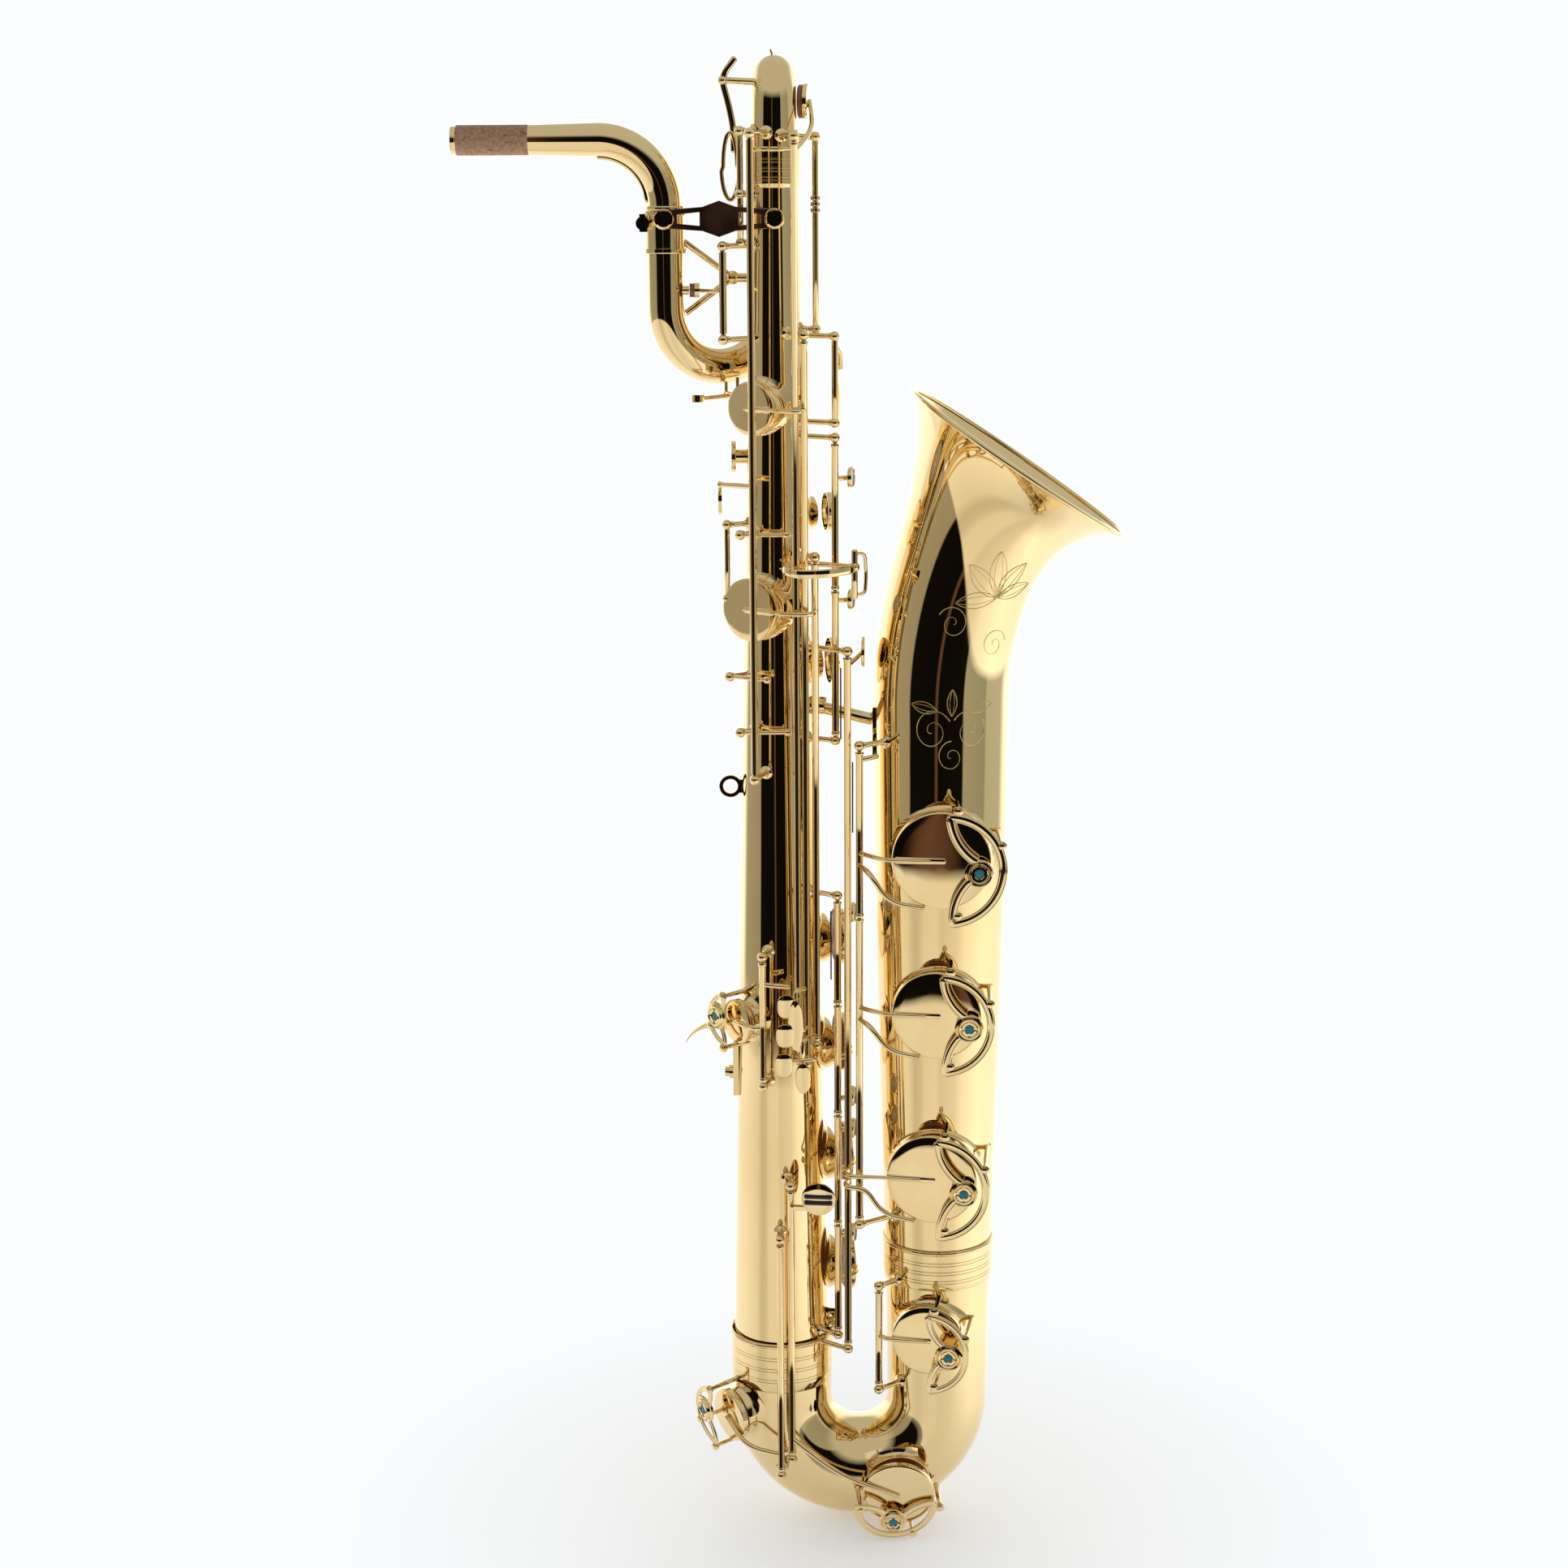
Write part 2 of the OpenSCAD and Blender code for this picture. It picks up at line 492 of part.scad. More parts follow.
module low_b_key() swing_key(b_hinge, 146, 651, low_b_hole, -1, bell_open, -8, b_dodge) {
    stay(b_hinge, low_b_hole, b_dodge);
    bent_rod([[b_hinge[0], b_hinge[1], 645], [-3, -22, 649], [0, -8, 651]], arm_r);
    translate([-1, -8, 650]) rotate([0, 90, 0]) cylinder(h = 2.4, r = 11);
}
module low_b_pad() swing_pad(b_hinge, low_b_hole, bell_open);
module low_c_sharp_key() swing_key(c_sharp_hinge, 116, 188, low_c_sharp_hole, -1, 0);
module low_c_sharp_pad() swing_pad(c_sharp_hinge, low_c_sharp_hole, 0);
// Stack keys, with a finger pearl facing forwards
module stack_key(hinge, z0, z1, hole, pearl_z, open) swing_key(hinge, z0, z1, hole, -1, open) {
    rod([hinge[0], hinge[1], pearl_z], [hinge[0] + 9, hinge[1] + 8, pearl_z], arm_r);
    translate([hinge[0] + 8, hinge[1] + 9, pearl_z]) rotate([0, 90, 0]) cylinder(h = 3, r = 7.5);
}
module f_sharp_key() stack_key(stack_hinge, 401, 476, f_sharp_hole, 466, stack_open);
module f_sharp_pad() swing_pad(stack_hinge, f_sharp_hole, stack_open);
module f_key() stack_key(stack_hinge, 319, 400, f_hole, 330, stack_open);
module f_pad() swing_pad(stack_hinge, f_hole, stack_open);
module e_key() stack_key(stack_hinge, 236, 318, e_hole, 306, stack_open);
module e_pad() swing_pad(stack_hinge, e_hole, stack_open);
module d_key() stack_key(stack_hinge, 154, 235, d_hole, 226, stack_open);
module d_pad() swing_pad(stack_hinge, d_hole, stack_open);
module g_key() stack_key(upper_hinge, 594, 695, g_hole, 688, stack_open);
module b_key() stack_key(upper_hinge, 696, 796, b_hole, 772, stack_open);
// Spoon-shaped side touch worked by the right hand
module side_touch(hinge, z) {
    p = [hinge[0], hinge[1] - 8, z];
    rod([hinge[0], hinge[1], z], p - [0, 1.2, 0], arm_r);
    translate(p + [0, 0, -11]) rotate([90, 0, 0]) intersection() {
        translate([-6, 0]) cube([12, 24, 2.4]);
        translate([0, 12, 0]) cylinder(h = 3, r = 12.5);
    }
}
module side_c_key() swing_key(side_c_hinge, 364, 866, side_c_hole, 1, 0, 4, [[-41, -48]]) side_touch(side_c_hinge, 400);
module side_c_pad() swing_pad(side_c_hinge, side_c_hole, 0);
module side_b_flat_key() swing_key(side_b_flat_hinge, 376, 716, side_b_flat_hole, 1, 0, 4, [[-32, -46], [-42, -49]]) side_touch(side_b_flat_hinge, 382);
module side_b_flat_pad() swing_pad(side_b_flat_hinge, side_b_flat_hole, 0);
// High E key: its cup shuts on the front of the top bow
high_e_spot = [body_x + 15.5, 8, 1022];
high_e_r = 12;
module at_high_e() translate(high_e_spot + [0.6, 0, 0]) rotate([0, 90, -8]) children();
module high_e_key() color(brass) difference() {
    union() {
        hinge_tube(high_e_hinge, 384, 996);
        at_high_e() translate([0, 0, 4.2]) cylinder(h = 3, r = high_e_r);
        bent_rod([[high_e_hinge[0], high_e_hinge[1], 990], [body_x + 26, -22, 1004],
            high_e_spot + [9, 0, 0]], arm_r);
        side_touch(high_e_hinge, 440);
    }
    hinge_bore(high_e_hinge);
}
module high_e_pad() color(leather) at_high_e() translate([0, 0, 0.6]) cylinder(h = 3.5, r = high_e_r - 1);
module trill_key() swing_key(trill_hinge, 349, 436, trill_hole, 1, 0)
    rod([trill_hinge[0], trill_hinge[1], 420], [trill_hinge[0] + 18, trill_hinge[1] - 6, 420], arm_r);
module trill_pad() swing_pad(trill_hinge, trill_hole, 0);

// Bow keys: a long arm from the low hinges, round the bow, to the cup
module bow_arm(hinge, z, over, target) bent_rod([[hinge[0], hinge[1], z], over, target], arm_r);
// Low C pinky touch and E flat pinky touch
module pinky_touch(hinge, z, up) translate([hinge[0], hinge[1] - 1.2, z]) rotate([90, 0, 0]) {
    translate([20, up * 13, 0]) cylinder(h = 2.4, r = 12.5);
    translate([0, up * 6 - 2, 0]) cube([20, 4, 2.4]);
}
module low_c_key() color(brass) turned(low_hinge, bow_open) difference() {
    union() {
        hinge_tube(low_hinge, 66, 268);
        at_low_c() cup(low_c_r, low_c_rim);
        bow_arm(low_hinge, 78, [-14, -56, 54], low_c_arm_end);
        pinky_touch(low_hinge, 251, 1);
    }
    hinge_bore(low_hinge);
}
bow_open = -6;
low_c_arm_end = [27.4, -48.3, 36.8];
module low_c_pad() turned(low_hinge, bow_open) at_low_c() pad(low_c_r, low_c_rim);
module e_flat_key() color(brass) difference() {
    union() {
        hinge_tube(e_flat_hinge, 54, 228);
        at_e_flat() cup(e_flat_r, e_flat_rim);
        bent_rod([[e_flat_hinge[0], e_flat_hinge[1], 66], [body_x - 26.5, -47.5, 72], [body_x - 40.6, -27.6, 86.5]], arm_r);
    }
    hinge_bore(e_flat_hinge);
}
module e_flat_pad() at_e_flat() pad(e_flat_r, e_flat_rim);

// Octave mechanism: vent key behind the body, thumb lever on the long front hinge
vent_pad_x = leg_x + 16.3;
module octave_vent_key() color(brass) difference() {
    union() {
        hinge_tube(vent_hinge, 870, 924);
        rod([vent_hinge[0], vent_hinge[1], vent_z], [vent_pad_x + 6, -3, vent_z], 1.4);
        translate([vent_pad_x + 3.4, -2, vent_z]) rotate([0, 90, 0]) cylinder(h = 3.4, r = 5);
    }
    hinge_bore(vent_hinge);
}
module octave_vent_pad() color(leather) translate([vent_pad_x, -2, vent_z]) rotate([0, 90, 0])
    cylinder(h = 3.3, r = 4.6);
module octave_lever() color(brass) difference() {
    union() {
        hinge_tube(octave_hinge, 572, 998);
        bent_rod([[octave_hinge[0], octave_hinge[1], 770], [body_x - 38, -34, 770], [body_x - 36, -14, 770]], arm_r);
        translate([body_x - 37, -10, 758]) rotate([0, -90, 0]) cylinder(h = 2.6, r = 12);
    }
    hinge_bore(octave_hinge);
}
// Water key under the loop
module water_key() color(brass) translate([leg_x + 44, 8, water_z]) rotate([0, 0, loop_dir]) difference() {
    union() {
        rotate([90, 0, 0]) cylinder(h = 12, r = hinge_r, center = true);
        rod([0, 0, 0], [-22, 0, -1], 1.5);
        translate([-26, 0, -3]) cylinder(h = 5, r = 4.5);
        rod([0, 0, 0], [14, 0, 4], 1.5);
    }
    rotate([90, 0, 0]) cylinder(h = 30, r = rod_r + run_gap, center = true);
}

// ---- neck: up from the receiver, round the bend and back to the cork ----
neck_bend_r = 44;
neck_end_x = -272;
bend_z = 954;
module neck_shape(inset) {
    translate([leg_x, 0, loop_z + 36.3]) cylinder(h = bend_z - loop_z - 36.3, r = neck_r - inset);
    translate([leg_x - neck_bend_r, 0, bend_z]) rotate([90, 0, 0]) rotate_extrude(angle = 90)
        translate([neck_bend_r, 0]) circle(neck_r - 0.02 - inset);
    translate([leg_x - neck_bend_r, 0, bend_z + neck_bend_r]) rotate([0, -90, 0])
        cylinder(h = leg_x - neck_bend_r - neck_end_x, r1 = neck_r - inset, r2 = 8.7 - inset);
}
module neck_tube() color(brass) difference() {
    union() {
        neck_shape(0);
        translate([leg_x, 0, receiver_top + 0.3]) cylinder(h = 3, r = 13.4);
        translate([leg_x - neck_bend_r, 0, bend_z]) rotate([90, 0, 0]) translate([0, 0, -1])
            rotate_extrude(angle = 90, $fn = 96) translate([neck_bend_r - 13.5, 0]) square([3.5, 2]);
        translate([neck_end_x - 1.5, 0, bend_z + neck_bend_r]) rotate([0, 90, 0]) cylinder(h = 3, r = 9.4);
    }
    neck_shape(0.9);
    translate([leg_x, 0, loop_z + 30]) cylinder(h = 8, r = neck_r - 0.9);
    translate([neck_end_x - 5, 0, bend_z + neck_bend_r]) rotate([0, 90, 0]) cylinder(h = 6, r = 7.8);
}
module neck_cork() color("tan") translate([neck_end_x + 2, 0, bend_z + neck_bend_r]) rotate([0, 90, 0]) difference() {
    cylinder(h = 49, r = 10);
    translate([0, 0, -1]) cylinder(h = 51, r1 = 8.7 + 0.02, r2 = 8.7 + 1.45);
}

body_tube();
bow();
bell_stack();
bell_flare();
bell_rim();
ferrules();
bell_brace();
top_bow();
crook_loop();
neck_receiver();
neck_clamp_screw();
neck_brace_plate();
brace_screws();
loop_brace();
strap_ring();
thumb_hook();
thumb_hook_screw();
thumb_rest();
ball_posts();
hinge_rods();
bell_key_guards();
bow_key_guards();
guard_bumpers();
needle_springs();
neck_tube();
neck_cork();
low_a_key();
low_a_pad();
low_b_flat_key();
low_b_flat_pad();
low_b_key();
low_b_pad();
low_c_sharp_key();
low_c_sharp_pad();
low_c_key();
low_c_pad();
e_flat_key();
e_flat_pad();
trill_key();
trill_pad();
side_c_key();
side_c_pad();
side_b_flat_key();
side_b_flat_pad();
high_e_key();
high_e_pad();
f_sharp_key();
f_sharp_pad();
f_key();
f_pad();
e_key();
e_pad();
d_key();
d_pad();
g_key();
b_key();
octave_vent_key();
octave_vent_pad();
octave_lever();
water_key();
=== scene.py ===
import math

import bpy
from mathutils import Matrix, Vector


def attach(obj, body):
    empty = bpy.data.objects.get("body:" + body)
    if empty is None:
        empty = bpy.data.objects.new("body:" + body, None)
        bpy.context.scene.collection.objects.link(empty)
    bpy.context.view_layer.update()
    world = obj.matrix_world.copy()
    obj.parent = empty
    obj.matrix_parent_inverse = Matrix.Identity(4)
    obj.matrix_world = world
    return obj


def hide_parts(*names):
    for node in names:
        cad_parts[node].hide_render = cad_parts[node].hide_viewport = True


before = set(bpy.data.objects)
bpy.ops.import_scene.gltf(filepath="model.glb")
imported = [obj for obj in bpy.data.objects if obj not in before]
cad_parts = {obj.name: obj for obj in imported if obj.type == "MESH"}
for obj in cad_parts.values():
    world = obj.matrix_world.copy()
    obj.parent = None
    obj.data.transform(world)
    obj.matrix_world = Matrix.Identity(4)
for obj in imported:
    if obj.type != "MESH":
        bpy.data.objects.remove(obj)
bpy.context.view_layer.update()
MM = 0.001


# ---- materials ----
def new_material(name):
    m = bpy.data.materials.new(name)
    m.use_nodes = True
    return m, m.node_tree.nodes, m.node_tree.links, m.node_tree.nodes["Principled BSDF"]


def noise(nodes, links, scale, detail=3.0, stretch=(1, 1, 1)):
    """Noise in the object's own coordinates, in metres."""
    co = nodes.new("ShaderNodeTexCoord")
    mp = nodes.new("ShaderNodeMapping")
    mp.inputs["Scale"].default_value = stretch
    tx = nodes.new("ShaderNodeTexNoise")
    tx.inputs["Scale"].default_value = scale
    tx.inputs["Detail"].default_value = detail
    links.new(co.outputs["Object"], mp.inputs["Vector"])
    links.new(mp.outputs["Vector"], tx.inputs["Vector"])
    return tx.outputs["Fac"]


def ramp(nodes, links, fac, stops):
    r = nodes.new("ShaderNodeValToRGB")
    while len(r.color_ramp.elements) < len(stops):
        r.color_ramp.elements.new(0.5)
    for e, (place, colour) in zip(r.color_ramp.elements, stops):
        e.position = place
        e.color = (*colour, 1)
    links.new(fac, r.inputs["Fac"])
    return r.outputs["Color"]


def bump(nodes, links, fac, bsdf, strength, distance=0.001):
    b = nodes.new("ShaderNodeBump")
    b.inputs["Strength"].default_value = strength
    b.inputs["Distance"].default_value = distance
    links.new(fac, b.inputs["Height"])
    links.new(b.outputs["Normal"], bsdf.inputs["Normal"])


def metal(name, dark, light, rough, wave=0.0, scale=9.0, coat=0.35):
    m, nodes, links, b = new_material(name)
    b.inputs["Metallic"].default_value = 1.0
    b.inputs["Coat Weight"].default_value = coat
    b.inputs["Coat Roughness"].default_value = 0.02
    tint = noise(nodes, links, scale)
    links.new(ramp(nodes, links, tint, [(0.3, dark), (0.7, light)]), b.inputs["Base Color"])
    wear = ramp(nodes, links, noise(nodes, links, 60.0), [(0.35, (rough,) * 3), (0.75, (rough * 1.7,) * 3)])
    links.new(wear, b.inputs["Roughness"])
    if wave:
        bump(nodes, links, noise(nodes, links, 26.0, 1.0), b, wave, 0.002)
    return m


def soft(name, dark, light, rough, scale, depth, sheen=0.0, detail=8.0):
    m, nodes, links, b = new_material(name)
    grain = noise(nodes, links, scale, detail)
    links.new(ramp(nodes, links, grain, [(0.3, dark), (0.7, light)]), b.inputs["Base Color"])
    b.inputs["Roughness"].default_value = rough
    b.inputs["Sheen Weight"].default_value = sheen
    bump(nodes, links, grain, b, depth, 0.0004)
    return m


def cork_material():
    """Pale cork with darker pores drawn out along the neck."""
    m, nodes, links, b = new_material("cork")
    grain = noise(nodes, links, 420, 5)
    base = ramp(nodes, links, grain, [(0.35, (0.36, 0.20, 0.12)), (0.62, (0.52, 0.32, 0.21))])
    pores = noise(nodes, links, 300, 2, (0.35, 1, 1))
    mask = ramp(nodes, links, pores, [(0.64, (0, 0, 0)), (0.70, (1, 1, 1))])
    mix = nodes.new("ShaderNodeMix")
    mix.data_type = "RGBA"
    links.new(mask, mix.inputs["Factor"])
    links.new(base, mix.inputs[6])
    mix.inputs[7].default_value = (0.16, 0.07, 0.035, 1)
    links.new(mix.outputs[2], b.inputs["Base Color"])
    b.inputs["Roughness"].default_value = 0.85
    bump(nodes, links, grain, b, 0.4, 0.0006)
    return m


brass = metal("brass_lacquered", (0.80, 0.61, 0.30), (0.86, 0.68, 0.37), 0.018, wave=0.05)
key_brass = metal("brass_keys", (0.82, 0.63, 0.32), (0.88, 0.70, 0.39), 0.025, wave=0.03, scale=40)
satin = metal("brass_scribed", (0.66, 0.50, 0.22), (0.74, 0.57, 0.28), 0.28, coat=0.0)
steel = metal("steel_rod", (0.40, 0.36, 0.30), (0.55, 0.50, 0.42), 0.10, coat=0.0)
blued = metal("steel_blued", (0.03, 0.04, 0.07), (0.06, 0.07, 0.11), 0.2, coat=0.0)
bronze = metal("brass_darkened", (0.16, 0.085, 0.055), (0.24, 0.13, 0.085), 0.22, coat=0.5)
leather = soft("leather_pad", (0.20, 0.065, 0.022), (0.42, 0.16, 0.06), 0.45, 900, 0.25)
felt = soft("felt_bumper", (0.01, 0.16, 0.24), (0.03, 0.33, 0.42), 0.95, 1800, 0.5, sheen=0.6)
black = soft("roller_black", (0.008, 0.008, 0.008), (0.02, 0.02, 0.02), 0.18, 300, 0.03)
pearl = soft("pearl", (0.62, 0.60, 0.56), (0.86, 0.86, 0.84), 0.2, 160, 0.02)
cork = cork_material()


# ---- mesh building, in millimetres ----
class Shape:
    """Gathers parts of a mesh and makes one visual piece of them."""

    def __init__(self):
        self.verts, self.faces, self.slots = [], [], []

    def add(self, part, place=None, slot=0):
        verts, faces = part
        n = len(self.verts)
        self.verts += [(place @ Vector(p)) if place else Vector(p) for p in verts]
        self.faces += [tuple(n + i for i in f) for f in faces]
        self.slots += [slot] * len(faces)
        return self

    def make(self, name, body, *mats, replaces=()):
        me = bpy.data.meshes.new(name)
        me.from_pydata([p * MM for p in self.verts], [], self.faces)
        me.polygons.foreach_set("material_index", self.slots)
        me.polygons.foreach_set("use_smooth", [True] * len(self.faces))
        for m in mats:
            me.materials.append(m)
        me.validate()
        ob = bpy.data.objects.new(name, me)
        bpy.context.scene.collection.objects.link(ob)
        me.set_sharp_from_angle(angle=math.radians(38))
        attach(ob, body)
        if replaces:
            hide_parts(*replaces)
        return ob


def at(x, y, z):
    return Matrix.Translation((x, y, z))


def rot(axis, deg):
    return Matrix.Rotation(math.radians(deg), 4, axis)


def facing(x, th, z):
    """On a vertical tube's side: x runs sideways, y up and z outwards."""
    return at(x, 0, z) @ rot("Z", th) @ rot("Y", 90) @ rot("Z", 90)


def turned(h, deg):
    """A turn about the upright hinge at h."""
    return at(h[0], h[1], 0) @ rot("Z", deg) @ at(-h[0], -h[1], 0)


def outwards(th):
    """Unit vector that points out of an upright tube at the angle th."""
    return Vector((math.cos(math.radians(th)), math.sin(math.radians(th)), 0))


def sideways(th):
    return Vector((-math.sin(math.radians(th)), math.cos(math.radians(th)), 0))


def full_turn(n):
    return [2 * math.pi * i / n for i in range(n)]


def part_turn(span, n):
    """The angles from 0 to span, both ends included."""
    return [span * i / n for i in range(n + 1)]


def oval(a, b, n=40, x=0, y=0):
    return [(x + a * math.cos(t), y + b * math.sin(t)) for t in full_turn(n)]


def ring_faces(n, sides, close=False):
    faces = []
    for i in range(n if close else n - 1):
        k = (i + 1) % n
        for j in range(sides):
            m = (j + 1) % sides
            faces.append((i * sides + j, i * sides + m, k * sides + m, k * sides + j))
    return faces


def lathe(profile, sides=64, close=False):
    """Turns (radius, height) pairs about z."""
    verts = [(r * math.cos(t), r * math.sin(t), z) for r, z in profile for t in full_turn(sides)]
    return verts, ring_faces(len(profile), sides, close)


def rounded(points, radius, steps=8):
    """The points' path with its corners rounded."""
    path = [Vector(p) for p in points]
    out = [path[0]]
    for a, b, c in zip(path, path[1:], path[2:]):
        d = min(radius, (a - b).length * 0.48, (c - b).length * 0.48)
        s = b + (a - b).normalized() * d
        e = b + (c - b).normalized() * d
        for i in range(steps + 1):
            t = i / steps
            out.append(s * (1 - t) ** 2 + b * 2 * t * (1 - t) + e * t * t)
    return out + [path[-1]]


ROUND_END = ((0.6, 0.001), (0.52, 0.5), (0.3, 0.86))


def sweep(path, r, sides=14, flat=1.0, up=None, cap=True):
    """Tube along a path; r is a radius or a function of the share of the length; flat squeezes it along up."""
    points = [Vector(p) for p in path]
    points = [p for i, p in enumerate(points) if i == 0 or (p - points[i - 1]).length > 1e-4]
    last = len(points) - 1
    length = [0.0]
    for a, b in zip(points, points[1:]):
        length.append(length[-1] + (b - a).length)
    first = (points[1] - points[0]).normalized()
    n = Vector(up) if up else Vector((0, 0, 1)) if abs(first.z) < 0.9 else Vector((1, 0, 0))
    verts, rings = [], 0
    for i, p in enumerate(points):
        t = (points[min(i + 1, last)] - points[max(i - 1, 0)]).normalized()
        n = (n - t * n.dot(t)).normalized()
        b = t.cross(n)
        size = r(length[i] / length[-1]) if callable(r) else r
        steps = [(0, 1)]
        if cap and i == 0:
            steps = [(-shift * size, k) for shift, k in ROUND_END] + steps
        elif cap and i == last:
            steps += [(shift * size, k) for shift, k in reversed(ROUND_END)]
        for shift, k in steps:
            rings += 1
            for a in full_turn(sides):
                verts.append(p + t * shift + n * (size * k * flat * math.cos(a)) + b * (size * k * math.sin(a)))
    return verts, ring_faces(rings, sides)


def slab(outline, thick, edge=0.5, dome=0.0):
    """Plate from an outline in x and y, with rounded edges and a slightly domed face."""
    n = len(outline)
    rim = [Vector(p) for p in outline]
    area = sum(rim[i].x * rim[(i + 1) % n].y - rim[(i + 1) % n].x * rim[i].y for i in range(n))
    if area < 0:
        rim.reverse()
    inward = []
    for i in range(n):
        d = (rim[(i + 1) % n] - rim[i - 1]).normalized()
        inward.append(Vector((-d.y, d.x)))
    centre = sum(rim, Vector((0, 0))) / n
    half = [(edge, 0), (0.15 * edge, 0.35 * edge), (0, edge)]
    levels = half + [(inset, thick - z) for inset, z in reversed(half)]
    verts = []
    for inset, z in levels:
        verts += [(*(p + q * inset), z) for p, q in zip(rim, inward)]
    for share, z in ((0.6, thick + dome * 0.6), (0.25, thick + dome * 0.94)):
        verts += [(*(centre + (p + q * edge - centre) * share), z) for p, q in zip(rim, inward)]
    rows = len(levels) + 2
    faces = ring_faces(rows, n)
    faces.append(tuple((rows - 1) * n + i for i in range(n)))
    faces.append(tuple(reversed(range(n))))
    return verts, faces


# ---- the instrument's tubes ----
BODY_X, BELL_X, BOW_Z, BOW_R = -57, 57, 93.5, 36.5
BODY_LOW, BODY_HIGH, STACK_Z, FLARE_Z, FLARE_R = 108.5, 985, 200, 612, 48
LEG_X, RETURN_Y, LOOP_Z, LOOP_R, TOP_Z, NECK_Z, NECK_BEND = -131, 39, 887, 41.8, 1019, 954, 44
LEAN, TURN, WALL, BEND_ROWS = 34.4, 297, 0.9, 72
UP_Y = (0, 1, 0)


def body_r(z):
    return 16 + 19.5 * (BODY_HIGH - z) / (BODY_HIGH - BODY_LOW)


def bell_r(z):
    """The bell stack widens in three straight stretches."""
    knots = ((STACK_Z, 38.5), (354, 42.9), (513, 47), (FLARE_Z, FLARE_R))
    for (z0, r0), (z1, r1) in zip(knots, knots[1:]):
        if z <= z1:
            return r0 + (r1 - r0) * (z - z0) / (z1 - z0)
    return FLARE_R


def flare_r(u):
    """The flare's radius; u is the share of the way from the stack to the rim."""
    return FLARE_R + 40.5 * u ** 5.5


# Each tone hole's tube, angle round it, height and pad cup radius
HOLES = {
    "low_a": (BELL_X, -90, 514, 34.4), "low_b_flat": (BELL_X, -93, 402, 31.5),
    "low_b": (BELL_X, -96, 280, 32.4), "low_c_sharp": (BELL_X, -101, 154, 26),
    "side_c": (BODY_X, -124, 820, 18.4), "side_b_flat": (BODY_X, -124, 683, 22),
    "trill": (BODY_X, -140, 388, 16), "f_sharp": (BODY_X, 22, 439, 21), "f": (BODY_X, 22, 360, 22),
    "e": (BODY_X, 22, 276, 22.5), "d": (BODY_X, 22, 192, 22.5), "g": (BODY_X, 22, 640, 17),
    "b": (BODY_X, 22, 745, 14),
}
BODY_HOLES = ("side_c", "side_b_flat", "trill", "f_sharp", "f", "e", "d", "g", "b")
BELL_HOLES = ("low_a", "low_b_flat", "low_b")
AT_LOW_C = at(24, 0, 47) @ rot("Z", -86) @ rot("Y", 102) @ rot("Z", 90)
AT_E_FLAT = at(BODY_X, 0, 92) @ rot("Z", 214) @ rot("Y", 96) @ rot("Z", 90)
LOW_C_R, E_FLAT_R = 26, 20


def tube_at(name):
    x, th, z, r = HOLES[name]
    return 38 if name == "low_c_sharp" else bell_r(z) if x > 0 else body_r(z)


def tone_hole(r, tube, rim, sides=72):
    """Drawn tone hole: fillet out of the tube's side, straight wall and rim; r is the pad cup's radius."""
    wall, verts = r - 2, []
    fillet = [(5.0, -0.35), (3.2, 0.25), (1.6, 0.9), (0.6, 2.0), (0, 3.4)]
    for out, lift in fillet:
        for a in full_turn(sides):
            x, y = (wall + out) * math.cos(a), (wall + out) * math.sin(a)
            verts.append((x, y, min(math.sqrt(max(tube * tube - x * x, 0)) + lift, rim - 1)))
    lip = [(wall, rim - 0.4), (wall - 0.3, rim), (wall - 0.9, rim)]
    lip += [(wall - 1.2, rim - 0.4), (wall - 1.2, rim - 9)]
    verts += lathe(lip, sides)[0]
    return verts, ring_faces(len(fillet) + len(lip), sides)


def holes_on(shape, names):
    for n in names:
        x, th, z, r = HOLES[n]
        shape.add(tone_hole(r, tube_at(n), tube_at(n) + 5), facing(x, th, z))


def tube_body():
    k = Shape()
    outside = [(body_r(z), z) for z in (BODY_LOW + (BODY_HIGH - BODY_LOW) * i / 60 for i in range(61))]
    inside = [(body_r(z) - WALL, z) for z in (BODY_HIGH, BODY_LOW)]
    k.add(lathe(outside + inside, 128), at(BODY_X, 0, 0))
    holes_on(k, BODY_HOLES)
    k.make("tube_body", "body", brass, replaces=("body_tube",))


def tube_bow():
    k = Shape()
    path = [(BODY_X, 0, BODY_LOW), (BODY_X, 0, 101)]
    path += [(BODY_X * math.cos(a), 0, BOW_Z + BODY_X * math.sin(a)) for a in part_turn(math.pi, 72)]
    path += [(BELL_X, 0, 120 + 20 * i) for i in range(5)]
    k.add(sweep(path, lambda t: BOW_R + 2.0 * max(0, (t - 0.66) / 0.34), 128, up=UP_Y, cap=False))
    holes_on(k, ("low_c_sharp",))
    k.add(tone_hole(LOW_C_R, 36.3, 41.5), AT_LOW_C)
    k.add(tone_hole(E_FLAT_R, 36.3, 41), AT_E_FLAT)
    k.make("tube_bow", "body", brass, replaces=("bow",))


def bell_frame(u):
    """Centre of the flare's ring at u, and the angle that it leans at."""
    a = math.radians(LEAN * u)
    return BELL_X + TURN * (1 - math.cos(a)), FLARE_Z + TURN * math.sin(a), a


